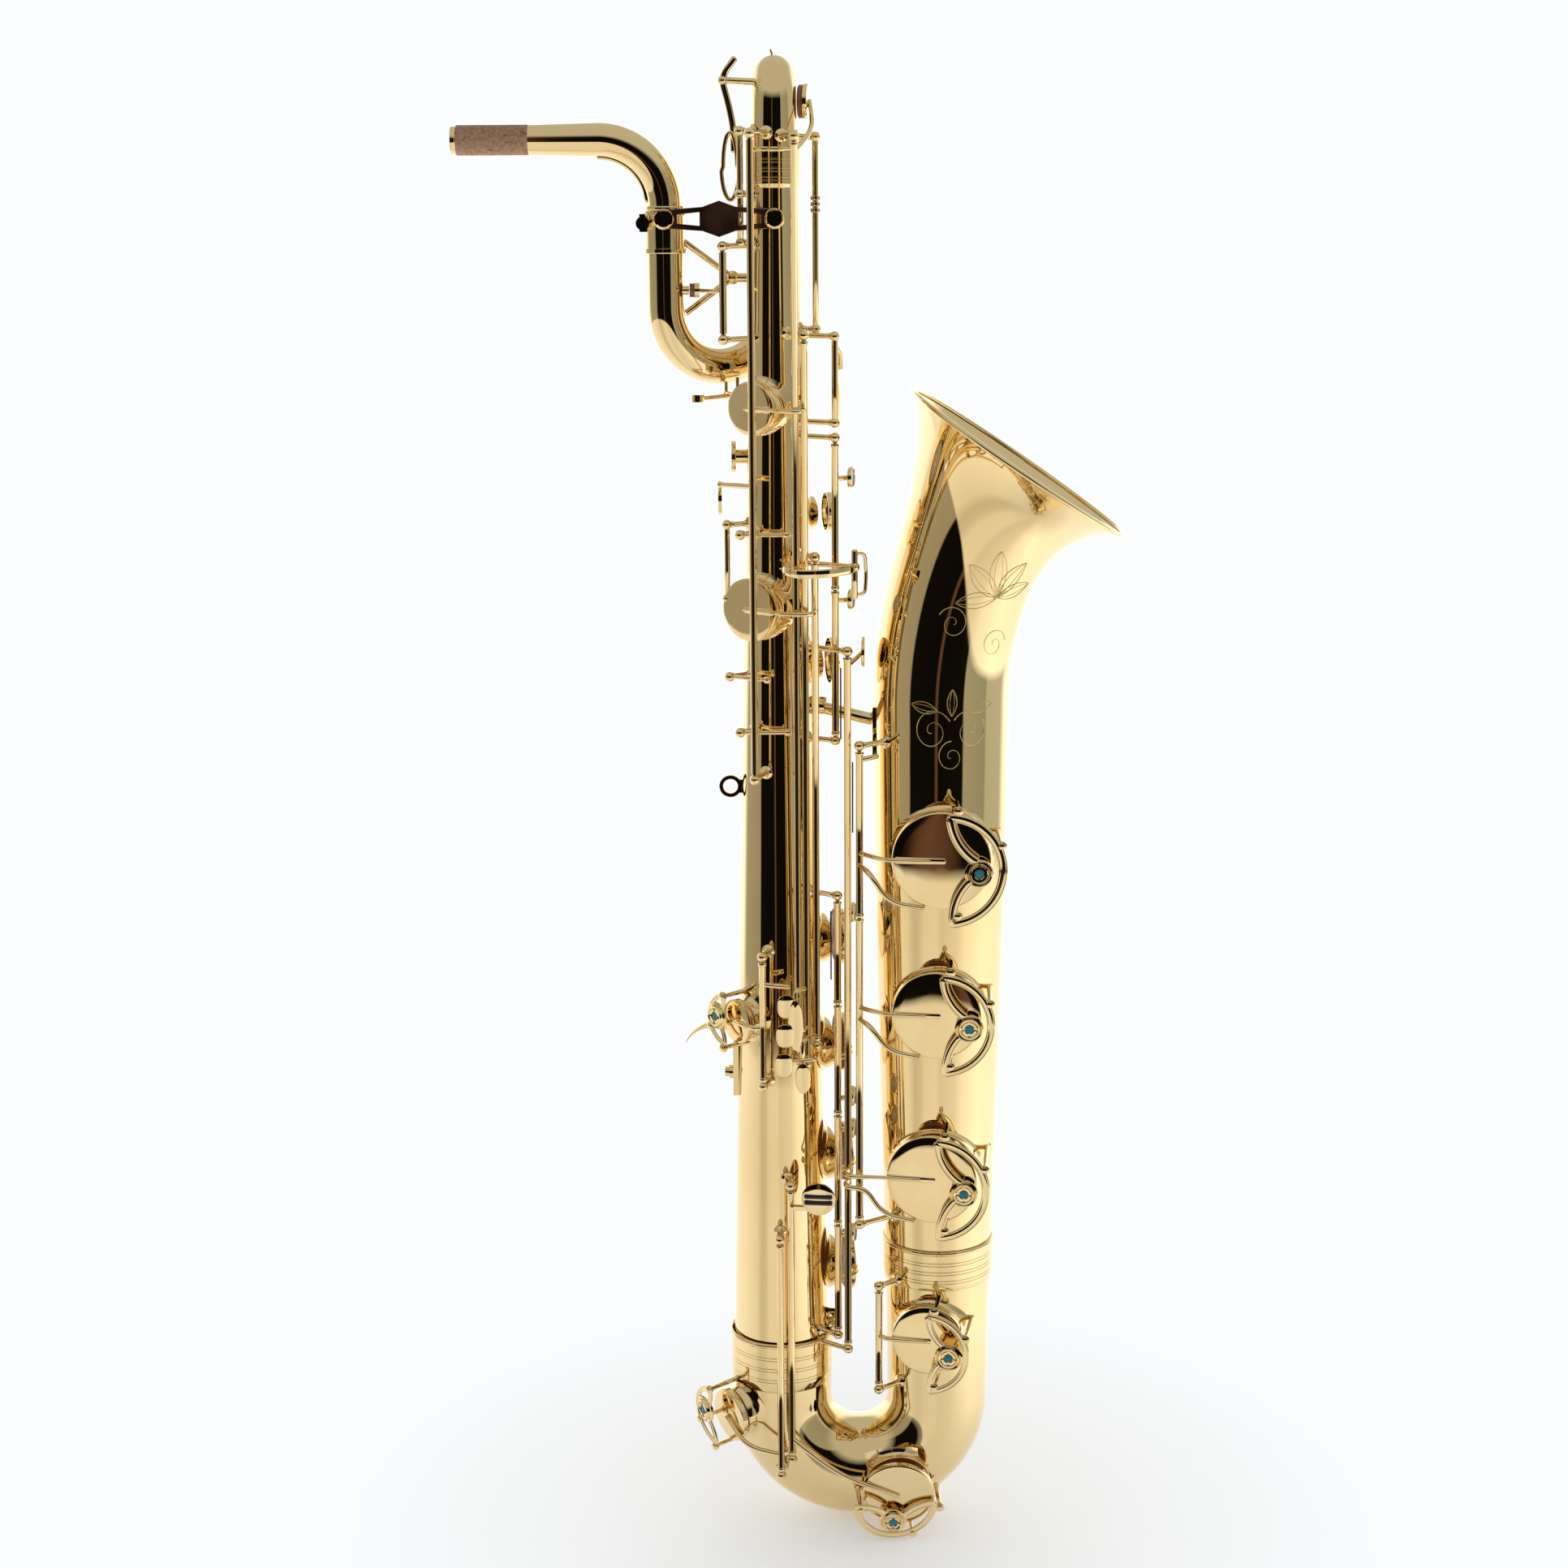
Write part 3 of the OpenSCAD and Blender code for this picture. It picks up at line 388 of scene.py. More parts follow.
def tube_bell():
    sides, rings = 160, []

    def upright(z, thin):
        rings.extend((BELL_X + x, y, z) for x, y, _ in lathe([(bell_r(z) - thin, 0)], sides)[0])

    def bent(u, thin):
        cx, cz, a = bell_frame(u)
        r = flare_r(u) - thin
        rings.extend((cx + r * math.cos(q) * math.cos(a), r * math.sin(q), cz - r * math.cos(q) * math.sin(a))
                     for q in full_turn(sides))

    for i in range(41):
        upright(STACK_Z + (FLARE_Z - STACK_Z) * i / 40, 0)
    for i in range(1, BEND_ROWS + 1):
        bent(i / BEND_ROWS, 0)
    for i in range(BEND_ROWS, -1, -1):
        bent(i / BEND_ROWS, WALL)
    for i in range(20, -1, -1):
        upright(STACK_Z + (FLARE_Z - STACK_Z) * i / 20, WALL)
    k = Shape()
    k.add((rings, ring_faces(len(rings) // sides, sides)))
    holes_on(k, BELL_HOLES)
    k.make("tube_bell", "body", brass, replaces=("bell_stack", "bell_flare"))


def rim_roll():
    x, z, _ = bell_frame(1)
    k = Shape()
    wire = [(88.1 + 1.9 * math.cos(a), 1.9 * math.sin(a)) for a in full_turn(20)]
    k.add(lathe(wire, 200, True), at(x, 0, z) @ rot("Y", LEAN))
    k.make("rim_roll", "body", brass, replaces=("bell_rim",))


def ferrule(r, h):
    """Sleeve with scribed double lines and a raised bead at its top."""
    prof = [(r - 1, 0), (r - 0.3, 0), (r, 0.4)]
    for i in (1, 2, 3):
        for g in (-1.1, 1.1):
            z = (h - 3) * i / 4 + g
            prof += [(r, z - 0.45), (r - 0.35, z - 0.2), (r - 0.35, z + 0.2), (r, z + 0.45)]
    prof += [(r, h - 3.4), (r + 0.35, h - 3.1)]
    prof += [(r + 0.9 * math.sin(a), h - 1.6 - 1.5 * math.cos(a)) for a in part_turn(math.pi, 8)[1:-1]]
    return prof + [(r - 0.3, h), (r - 1, h)]


def ferrule_rings():
    k = Shape()
    for x, y, z, h, r in ((BODY_X, 0, 109, 37, 37.4), (BELL_X, 0, 188, 30, 40.2), (BODY_X, 0, 966, 27, 17.6),
                          (BODY_X, RETURN_Y, 962, 18, 14.9)):
        k.add(lathe(ferrule(r, h), 128), at(x, y, z))
    k.make("ferrule_rings", "body", brass, replaces=("ferrules",))


def tube_top_bow():
    half = RETURN_Y / 2
    path = [(BODY_X, 0, BODY_HIGH + 3.4 * i) for i in range(10)]
    path += [(BODY_X, half - half * math.cos(a), TOP_Z + half * math.sin(a)) for a in part_turn(math.pi, 48)]
    path += [(BODY_X, RETURN_Y, TOP_Z - 3.4 * i) for i in range(1, 11)]
    k = Shape()
    k.add(sweep(path, lambda t: 15 + 1.0 * max(0, 1 - t / 0.25) - 1.2 * max(0, (t - 0.76) / 0.24), 96,
                up=(1, 0, 0), cap=False))
    k.make("tube_top_bow", "body", brass, replaces=("top_bow",))


def tube_loop():
    """The pigtail loop, from the return tube round to the leg that carries the neck."""
    dx, dy = (LEG_X - BODY_X) / 2, -RETURN_Y / 2
    path = [(BODY_X, RETURN_Y, BODY_HIGH - 9.8 * i) for i in range(10)]
    path += [(LEG_X - dx - dx * math.cos(a), -dy - dy * math.cos(a), LOOP_Z - LOOP_R * math.sin(a))
             for a in part_turn(math.pi, 56)]
    path += [(LEG_X, 0, LOOP_Z + 4 * i) for i in range(1, 10)]
    k = Shape()
    k.add(sweep(path, lambda t: 12.3 + 1.2 * max(0, 1 - t / 0.36), 96, up=(0.3, 0.9, 0), cap=False))
    k.add(lathe([(3.6, 0), (3, 1), (3, 6), (1.2, 6), (1.2, 1)], 32), at(LEG_X + 10, -2, 898) @ rot("Y", 90))
    k.make("tube_loop", "body", brass, replaces=("crook_loop",))


def collar(inner, edge, outer):
    """Profile of a 3 mm ring with softened edges round a tube."""
    return [(inner, 0), (edge, 0), (outer, 0.6), (outer, 2.4), (edge, 3), (inner, 3)]


def tube_neck():
    centre, end = LEG_X - NECK_BEND, NECK_Z + NECK_BEND
    path = [(LEG_X, 0, 924 + 3 * i) for i in range(10)]
    path += [(centre + NECK_BEND * math.cos(a), 0, NECK_Z + NECK_BEND * math.sin(a))
             for a in part_turn(math.pi / 2, 40)]
    path += [(centre - 4.85 * i, 0, end) for i in range(1, 21)]
    rib_r = 32.5
    rib = [(centre + rib_r * math.cos(a), 0, NECK_Z + rib_r * math.sin(a))
           for a in part_turn(math.pi / 2, 30)[2:]]
    k = Shape()
    k.add(sweep(path, lambda t: 11.2 - 2.5 * max(0, (t - 0.5) / 0.5), 96, up=UP_Y, cap=False))
    k.add(lathe(collar(11, 13, 13.4), 96), at(LEG_X, 0, 951.3))
    k.add(lathe(collar(7.7, 9.1, 9.4) + [(7.7, 0.1)], 96), at(-273.5, 0, end) @ rot("Y", 90))
    k.add(sweep(rib, 1.6, 12, flat=0.6, up=UP_Y))
    k.make("tube_neck", "neck", brass, replaces=("neck_tube",))


def cork_sleeve():
    k = Shape()
    side = [(10, z) for z in range(2, 48, 2)]
    k.add(lathe([(8.75, 0), (9.6, 0), (10, 0.5)] + side + [(10, 48.4), (9.8, 49), (9.0, 49)], 96),
          at(-270, 0, NECK_Z + NECK_BEND) @ rot("Y", 90))
    k.make("cork_sleeve", "neck", cork, replaces=("neck_cork",))


for build in (tube_body, tube_bow, tube_bell, rim_roll, ferrule_rings, tube_top_bow, tube_loop, tube_neck,
              cork_sleeve):
    build()


# ---- keys ----
# Where each upright steel rod stands, seen from above
HINGE = {
    "bell": (-1, -40), "b": (-9, -34), "c_sharp": (13, -38), "stack": (-16, -27), "upper": (-17, -22),
    "side_c": (-38, -38), "side_b_flat": (-31, -33), "high_e": (-44, -41), "trill": (-69, -43),
    "low": (-50, -47), "e_flat": (-58, -49), "octave": (-73, -47), "vent": (-92, -19),
}
ARM, TUBE_R, CUP_TOP, OPEN, PLATE_T = 1.8, 2.5, 6.8, -6, 2.4
LOW_C_SEAT, E_FLAT_SEAT = 41.5, 41
STILL = Matrix.Identity(4)


def cup_part(r, d):
    """Pad cup: thin wall, a step and a shallow dome, with its outside base at d + 2.3."""
    b = d + 2.3
    wall = [(r - 1.2, b), (r - 0.25, b), (r, b + 0.3), (r, b + 3.0), (r - 0.25, b + 3.9), (r - 0.9, b + 4.35)]
    dome = [(r - 1.8, b + 4.5), (r * 0.8, b + 4.75), (r * 0.5, b + 4.98), (r * 0.25, b + 5.05), (0.01, b + 5.08)]
    return lathe(wall + dome, 96)


def pad_part(r, d):
    """Leather pad: a rivet in the middle, the ring that the tone hole presses in, and a rolled edge."""
    b, edge = d + 0.3, r - 1.2
    face = [(0.01, b + 0.35), (2.4, b + 0.3), (2.6, b + 0.15), (edge * 0.55, b + 0.2)]
    ring = [(r - 5.2, b + 0.3), (r - 4.4, b + 0.75), (r - 3.4, b + 0.5), (r - 3, b + 0.1), (edge - 1.1, b)]
    roll = [(edge - 0.35, b + 0.4), (edge, b + 1.4), (edge, b + 3.2), (edge - 0.6, b + 3.9), (0.01, b + 3.95)]
    return lathe(face + ring + roll, 80)


def boss(low, high):
    """Hinge tube with small turned collars at its ends."""
    bore, c, r = 1.55, TUBE_R + 0.45, TUBE_R
    end = [(bore, 0), (c - 0.2, 0), (c, 0.3), (c, 2.2), (c - 0.3, 2.6), (r, 2.9)]
    return lathe([(a, low + z) for a, z in end] + [(a, high - z) for a, z in reversed(end)], 28)


def on_tube(x, th, z, d):
    return Vector((x, 0, z)) + outwards(th) * d


def swing_key(name, hinge, low, high, side, open_by, reach=0, dodge=(), extra=None, stay=False, pad=True):
    """One key: hinge tube from low to high, arm, cup and pad.

    open_by is how far it stands open, side is the way that the arm comes from, reach is how far the arm
    goes past the cup's middle, dodge gives the arm's corners and stay adds a second, lower arm.
    """
    h = HINGE[hinge]
    x, th, z, r = HOLES[name]
    d = tube_at(name) + 5
    move = turned(h, open_by)
    out, t = outwards(th), sideways(th) * side
    top = on_tube(x, th, z, d + CUP_TOP + 1)
    k = Shape()
    k.add(boss(low, high), move @ at(h[0], h[1], 0))
    path = [(*h, z)] + [(*p, z) for p in dodge] + [top + t * (r + 4), top - t * reach]
    k.add(sweep(rounded(path, 9), lambda s: ARM * (1.12 - 0.55 * s), 16), move)
    spine = [top + t * (r - 3) - out * 0.7, top - t * max(reach, 3) * 0.6 - out * 0.9]
    k.add(sweep(spine, 2.4, 16, flat=0.4, up=out), move)
    k.add(cup_part(r, d), move @ facing(x, th, z))
    if stay:
        t, low_end = sideways(th), z - r + 2
        path = [(*h, z - 8)] + [(*p, z - 8) for p in dodge]
        path += [on_tube(x, th, height, d + 6.6) - t * away
                 for height, away in ((z - 10, r + 15), (low_end + 2, r + 2), (low_end - 1, 12))]
        k.add(sweep(rounded(path, 16, 12), lambda s: ARM * (1.1 - 0.25 * s), 16), move)
    if extra:
        extra(k, move, h)
    k.make("lever_" + name, name, key_brass, pearl, black, replaces=(name + "_key",))
    if pad:
        p = Shape()
        p.add(pad_part(r, d), move @ facing(x, th, z))
        p.make("padded_" + name, name, leather, replaces=(name + "_pad",))


def low_a_link(k, m, h):
    k.add(sweep([(h[0], h[1], 580), (h[0] + 12, h[1] + 4, 582)], ARM), m)


def low_b_touch(k, m, h):
    k.add(sweep(rounded([(h[0], h[1], 645), (-3, -22, 649), (0, -8, 651)], 9), ARM), m)
    k.add(slab(oval(11, 11), PLATE_T, 0.6, 0.3), m @ at(-1, -8, 650) @ rot("Y", 90))


def trill_touch(k, m, h):
    k.add(sweep([(h[0], h[1], 420), (h[0] + 18, h[1] - 6, 420)], ARM), m)


def pearl_touch(z):
    """Finger touch with a pearl in a raised brass rim."""
    def add(k, m, h):
        k.add(sweep([(h[0], h[1], z), (h[0] + 9, h[1] + 8, z)], ARM), m)
        place = m @ at(h[0] + 8, h[1] + 9, z) @ rot("Y", 90)
        k.add(lathe([(0.01, 0), (7.2, 0), (7.5, 0.4), (7.5, 2.5), (7.2, 3.0), (6.6, 3.0), (6.3, 2.5)], 48), place)
        k.add(lathe([(6.35, 2.3), (4, 2.0), (2, 1.85), (0.01, 1.8)], 48), place, 1)
    return add


def side_plate(k, m, h, x, z):
    """Rounded finger plate of the right-hand side keys, on a short arm."""
    def power(v, e):
        return math.copysign(abs(v) ** e, v)

    out = [(6.2 * power(math.cos(a), 0.7), 8.6 * power(math.sin(a), 0.8)) for a in full_turn(48)]
    k.add(slab(out, 2.3, 0.8, 0.6), m @ at(x, -48.5, z) @ rot("X", 96))
    k.add(sweep(rounded([(h[0], h[1], z + 3), (h[0] - 2, -47, z + 3), (x + 2, -48.6, z + 2)], 3), 1.5), m)


def side_touch(plate, start, place, tall):
    """Stacked plate, and an oval touch with its middle at place that hangs from the tube at height start."""
    def add(k, m, h):
        side_plate(k, m, h, *plate)
        x, z = place
        k.add(sweep(rounded([(h[0], h[1], start), (x, -45.5, start), (x, -47, z)], 4), ARM), m)
        k.add(slab(oval(5.4, tall, 44), PLATE_T, 0.8, 0.5), m @ at(x, -48, z) @ rot("X", 96))
    return add


def high_e():
    h = HINGE["high_e"]
    hole = at(BODY_X + 16.1, 8, 1022) @ rot("Z", -8) @ rot("Y", 90)
    k = Shape()
    k.add(boss(384, 996), at(h[0], h[1], 0))
    k.add(lathe([(0.01, 4.2), (11.7, 4.2), (12, 4.6), (12, 6.6), (11.6, 7.2), (6, 7.5), (0.01, 7.6)], 64), hole)
    k.add(sweep(rounded([(*h, 990), (BODY_X + 26, -22, 1004), (BODY_X + 24.5, 8, 1022)], 12), ARM), STILL)
    side_plate(k, STILL, h, -52.5, 406)
    k.make("lever_high_e", "high_e", key_brass, replaces=("high_e_key",))
    p = Shape()
    p.add(lathe([(0.01, 0.9), (7.5, 0.8), (10.6, 0.6), (11, 1.2), (11, 3.4), (10.4, 4.1), (0.01, 4.1)], 64), hole)
    p.make("padded_high_e", "high_e", leather, replaces=("high_e_pad",))


def pinky(k, m, h, z):
    """Little-finger touch on the low C tube, with two black rollers across it."""
    place = m @ at(h[0], h[1] - 1.2, z) @ rot("X", 94)
    k.add(slab(oval(12.2, 12.2, 48, 20, 13), PLATE_T, 0.8, 0.6), place)
    k.add(slab([(0, 4), (12, 4), (20, 4), (20, 8), (10, 8), (0, 8)], PLATE_T, 0.5), place)
    for height in (z + 10.7, z + 15.3):
        k.add(sweep([(h[0] + 11, h[1] - 4, height), (h[0] + 29, h[1] - 4, height)], 2.1, 20), m, 1)


def low_c():
    h = HINGE["low"]
    m = turned(h, OPEN)
    arm = rounded([(*h, 78), (-14, -56, 54), (27.4, -48.3, 36.8)], 26, 16)
    k = Shape()
    k.add(boss(66, 268), m @ at(h[0], h[1], 0))
    k.add(cup_part(LOW_C_R, LOW_C_SEAT), m @ AT_LOW_C)
    k.add(sweep(arm, lambda s: ARM * (1.1 - 0.3 * s), 16), m)
    pinky(k, m, h, 251)
    k.make("lever_low_c", "low_c", key_brass, black, replaces=("low_c_key",))
    p = Shape()
    p.add(pad_part(LOW_C_R, LOW_C_SEAT), m @ AT_LOW_C)
    p.make("padded_low_c", "low_c", leather, replaces=("low_c_pad",))


def e_flat():
    h = HINGE["e_flat"]
    arm = rounded([(*h, 66), (BODY_X - 26.5, -47.5, 72), (BODY_X - 40.6, -27.6, 86.5)], 16, 12)
    k = Shape()
    k.add(boss(54, 228), at(h[0], h[1], 0))
    k.add(cup_part(E_FLAT_R, E_FLAT_SEAT), AT_E_FLAT)
    k.add(sweep(arm, ARM), STILL)
    k.make("lever_e_flat", "e_flat", key_brass, replaces=("e_flat_key",))
    p = Shape()
    p.add(pad_part(E_FLAT_R, E_FLAT_SEAT), AT_E_FLAT)
    p.make("padded_e_flat", "e_flat", leather, replaces=("e_flat_pad",))


swing_key("low_a", "bell", 468, 586, -1, OPEN, -8, extra=low_a_link, stay=True)
swing_key("low_b_flat", "bell", 244, 467, -1, OPEN, -8, stay=True)
swing_key("low_b", "b", 146, 651, -1, OPEN, -8, dodge=[(-10, -50)], extra=low_b_touch, stay=True)
swing_key("low_c_sharp", "c_sharp", 116, 188, -1, 0)
for name, hinge, low, high, touch in (
        ("f_sharp", "stack", 401, 476, 466), ("f", "stack", 319, 400, 330), ("e", "stack", 236, 318, 306),
        ("d", "stack", 154, 235, 226), ("g", "upper", 594, 695, 688), ("b", "upper", 696, 796, 772)):
    swing_key(name, hinge, low, high, -1, 2 * OPEN, extra=pearl_touch(touch), pad=hinge == "stack")
swing_key("side_c", "side_c", 364, 866, 1, 0, 4, dodge=[(-41, -48)],
          extra=side_touch((-53.5, 384.5), 416, (-46, 392), 19))
swing_key("side_b_flat", "side_b_flat", 376, 716, 1, 0, 4, dodge=[(-32, -46), (-42, -49)],
          extra=side_touch((-54.5, 363), 380, (-41, 353), 11.6))
swing_key("trill", "trill", 349, 436, 1, 0, extra=trill_touch)
high_e()
low_c()
e_flat()


# ---- posts ----
# The heights of each rod's two posts on the body
SPANS = {"stack": (150, 480), "upper": (590, 800), "side_c": (360, 870), "side_b_flat": (372, 720),
         "high_e": (380, 1000), "trill": (345, 440), "octave": (568, 1002), "b": (142, 655), "vent": (866, 928)}


def post(shape, h, z, x, r):
    """Turned post with a ball: h is where its rod stands, x and r the tube that it is soldered to."""
    v = Vector((h[0] - x, h[1], 0))
    d = v.length
    foot = Vector((x, 0, z)) + v / d * (r - 0.5)
    aim = Vector((0, 0, 1)).rotation_difference(v / d).to_matrix().to_4x4()
    tall, ball_r = d - r + 0.5, 3.6
    prof = [(4.6, 0), (4.4, 1.6), (2.2, 2)]
    if tall > 9:
        prof = [(4.6, 0), (4.6, 1.3), (4.2, 1.8), (3.0, 2.2), (2.3, 3.2), (1.9, 5)]
    last = prof[-1][1]
    prof += [(1.9, max(tall - 4.6, last + 0.2)), (2.5, max(tall - 4.0, last + 0.4))]
    prof = [p for p in prof if p[1] < tall - 2.8]
    prof += [(ball_r * math.sin(0.62 + a), tall - ball_r * math.cos(0.62 + a))
             for a in part_turn(math.pi - 0.63, 12)]
    shape.add(lathe(prof, 32), Matrix.Translation(foot) @ aim)


def on_body(shape, h, *heights):
    for z in heights:
        post(shape, h, z, BODY_X, 15.8 if z > BODY_HIGH else body_r(z))


def pillar_posts():
    k = Shape()
    for name, (low, high) in SPANS.items():
        on_body(k, HINGE[name], low, high)
    for z in (240, 590):
        post(k, HINGE["bell"], z, BELL_X, bell_r(z))
    for z, r in ((112, 37), (192, 40)):
        post(k, HINGE["c_sharp"], z, BELL_X, r)
    for name, low, high in (("low", 62, 272), ("e_flat", 50, 232)):
        on_body(k, HINGE[name], high)
        post(k, HINGE[name], low, BODY_X, 36)
    loop_dir = math.degrees(math.atan2(RETURN_Y, 74))
    small = [(2.4 * math.sin(a), -2.4 * math.cos(a))
             for a in (math.pi * (0.01 + 0.8 * i / 10) for i in range(11))]
    for s in (-8.5, 8.5):
        water = at(LEG_X + 44, 8, 826) @ rot("Z", loop_dir) @ at(0, s, 0)
        k.add(lathe(small + [(1.3, 3), (1.3, 13)], 24), water)
    k.make("pillar_posts", "body", key_brass, replaces=("ball_posts",))


pillar_posts()


# ---- smaller fittings ----
def ball(r):
    return lathe([(r * math.sin(a) + 0.001, -r * math.cos(a)) for a in part_turn(math.pi, 12)], 28)


def bar(shape, a, b, r=1.4, end=2.7):
    """Rod with a ball on each end."""
    shape.add(sweep([a, b], r, 16))
    for p in (a, b):
        shape.add(ball(end), at(*p))


def tube_on_posts(shape, h, low, high, r):
    """Short upright hinge tube between two posts on the body."""
    on_body(shape, h, low, high)
    shape.add(sweep([(*h, low), (*h, high)], r, 18))


def cross_bars(k):
    for a, b, z in (((-82, -30), (-50, -31), 735), ((-90, -25), (-64, -37), 636), ((-83, -32), (-50, -32), 598)):
        bar(k, (*a, z), (*b, z), 1.5)
        on_body(k, a, z)


def rod_band(k):
    """Flat band that holds the long rods, its post and the small bow beside it."""
    h = (-4, -33)
    band = [(-51, -20, 712), (-54, -40, 712), (-44, -52, 711), (-22, -55, 712), (-5, -42, 713), (*h, 713)]
    k.add(sweep(rounded(band, 16, 12), 3.0, 18, flat=0.3, up=UP_Y))
    on_body(k, h, 713)
    k.add(sweep(rounded([(*h, 722), (3, -30, 722), (4, -28, 706), (3, -30, 694), (*h, 694)], 6), 1.3))
    k.add(sweep([(*h, 724), (*h, 692)], 2.2, 18))


def right_rod(k):
    h = (-29.5, -10)
    tube_on_posts(k, h, 872, 999, 2.2)
    for z in (951, 955, 959):
        k.add(lathe([(2.2, -1.4), (3.4, -1.2), (3.6, 0), (3.4, 1.2), (2.2, 1.4)], 28), at(*h, z))


def loop_levers(k):
    """Knob and bent lever on the top bow, and the oval octave lever beside the loop on its own rod."""
    k.add(sweep([(-70, -1, 1035), (-90, -3, 1036)], 2.4, 20))
    k.add(ball(3.4), at(-91, -3, 1036))
    bent = [(-83, -4, 1050), (-92, -4, 1038), (-87, -4, 1020), (-84, -4, 1004), (-84, -4, 990)]
    k.add(sweep(rounded(bent, 9), 2.2, 16, flat=0.5, up=UP_Y))
    egg = [(-86.5 + 5.2 * math.cos(a) * (1.15 if math.sin(a) < 0 else 0.9), -5, 980 + 22 * math.sin(a))
           for a in part_turn(2 * math.pi, 40)]
    k.add(sweep(egg, 1.5, 14, flat=0.7, up=UP_Y))
    h = (-80, -12)
    for z in (962, 1003):
        post(k, h, z, BODY_X, 16)
    k.add(sweep([(*h, 930), (*h, 1003)], 2.2, 18))
    on_body(k, h, 930)
    k.add(sweep(rounded([(BODY_X, 15, 1033), (BODY_X, 15, 1050), (BODY_X - 2, 15, 1056)], 4), 0.8, 12))


def palm_touch(k):
    h = (-17, -22)
    k.add(slab(oval(6.2, 21, 48), 2.2, 0.8, 0.8), at(-16, -15, 829) @ rot("Z", 78) @ rot("X", 90))
    k.add(sweep(rounded([(*h, 862), (-13, -18, 856), (-13, -15, 846)], 5), 1.7))
    tube_on_posts(k, h, 810, 868, 2.3)


def screwed_plate(k):
    outline = [(-4, -9), (4, -9), (5, -5), (5, 5), (4, 9), (-4, 9), (-5, 5), (-5, -5)]
    k.add(slab(outline, 2.5, 0.6), at(-19.5, -8, 154) @ rot("Z", -14) @ rot("X", 90))
    for z in (150, 158):
        k.add(lathe([(2.9, 0), (2.9, 1.2), (2.4, 1.8), (0.01, 2.0)], 28), at(-20, -10.3, z) @ rot("X", 90))


def fittings_small():
    k = Shape()
    cross_bars(k)
    rod_band(k)
    tube_on_posts(k, (-91, -15), 689, 740, 2.0)
    right_rod(k)
    loop_levers(k)
    palm_touch(k)
    screwed_plate(k)
    for x in (LEG_X, BODY_X):
        ring = [(5.0, 0), (6.6, 0), (6.8, 1.2), (6.2, 2.0), (5.2, 2.2), (5.0, 1.6)]
        k.add(lathe(ring, 48, True), at(x, -20.7, 946) @ rot("X", 90))
    k.make("fittings_small", "body", key_brass)


fittings_small()


# ---- scrolls cut in the bell ----
def bell_spot(q, u, out=0.04):
    """Point just outside the bell: q is the angle from its front and u the share of the way up the flare."""
    q = math.radians(q)
    if u < 0:
        z = FLARE_Z + u * 180
        r = bell_r(z) + out
        return Vector((BELL_X + r * math.cos(q), r * math.sin(q), z))
    x, z, a = bell_frame(u)
    r = flare_r(u) + out
    return Vector((x + r * math.cos(q) * math.cos(a), r * math.sin(q), z - r * math.cos(q) * math.sin(a)))


def scroll(shape, q0, u0, size, turns, start, hand):
    """Spiral cut as a fine line that thins towards its middle."""
    pts = []
    for i in range(70):
        s = i / 69
        r = size * (1 - s) ** 0.8 + size * 0.08
        a = start + hand * turns * 2 * math.pi * s
        pts.append(bell_spot(q0 + r * math.cos(a), u0 + r * math.sin(a) / 190))
    shape.add(sweep(pts, lambda t: 0.34 - 0.16 * t, 6))


def petal(shape, q0, u0, aim, length, width):
    """Leaf of two outer and two finer inner lines."""
    a = math.radians(aim)
    for w in (-1, -0.45, 0.45, 1):
        pts = []
        for i in range(25):
            s = i / 24
            across = w * width * math.sin(math.pi * s) ** 0.8
            q = q0 + length * s * math.cos(a) - across * math.sin(a)
            u = u0 + (length * s * math.sin(a) + across * math.cos(a)) / 190
            pts.append(bell_spot(q, u))
        shape.add(sweep(pts, 0.28 if abs(w) == 1 else 0.18, 6))


def engraving_scrolls():
    k = Shape()
    for aim, length, width in ((200, 34, 6), (150, 36, 7), (110, 38, 7), (70, 36, 7), (30, 34, 6)):
        petal(k, -62, 0.50, aim, length, width)
    for q0, u0, aim, length in ((-96, 0.02, 170, 22), (-70, 0.02, 10, 24), (-84, 0.0, 90, 20)):
        petal(k, q0, u0, aim, length, 4)
    for spiral in ((-100, -0.06, 15, 1.6, 0.5, 1), (-68, -0.06, 15, 1.6, 2.6, -1), (-84, -0.16, 11, 1.4, 1.6, 1),
                   (-52, 0.30, 12, 1.5, 0.3, 1), (-92, 0.36, 12, 1.5, 2.8, -1)):
        scroll(k, *spiral)
    k.make("engraving_scrolls", "body", satin)


engraving_scrolls()


# ---- guards ----
def near(p, q):
    return math.hypot(p[0] - q[0], p[1] - q[1])


def longest_arc(centre, r, keep, n=120):
    """The longest stretch of a circle whose points keep() accepts."""
    pts = oval(r, r, n, *centre)
    best, run = [], []
    for p in pts + pts:
        run = run + [p] if keep(p) and len(run) < n else []
        best = run if len(run) > len(best) else best
    return best


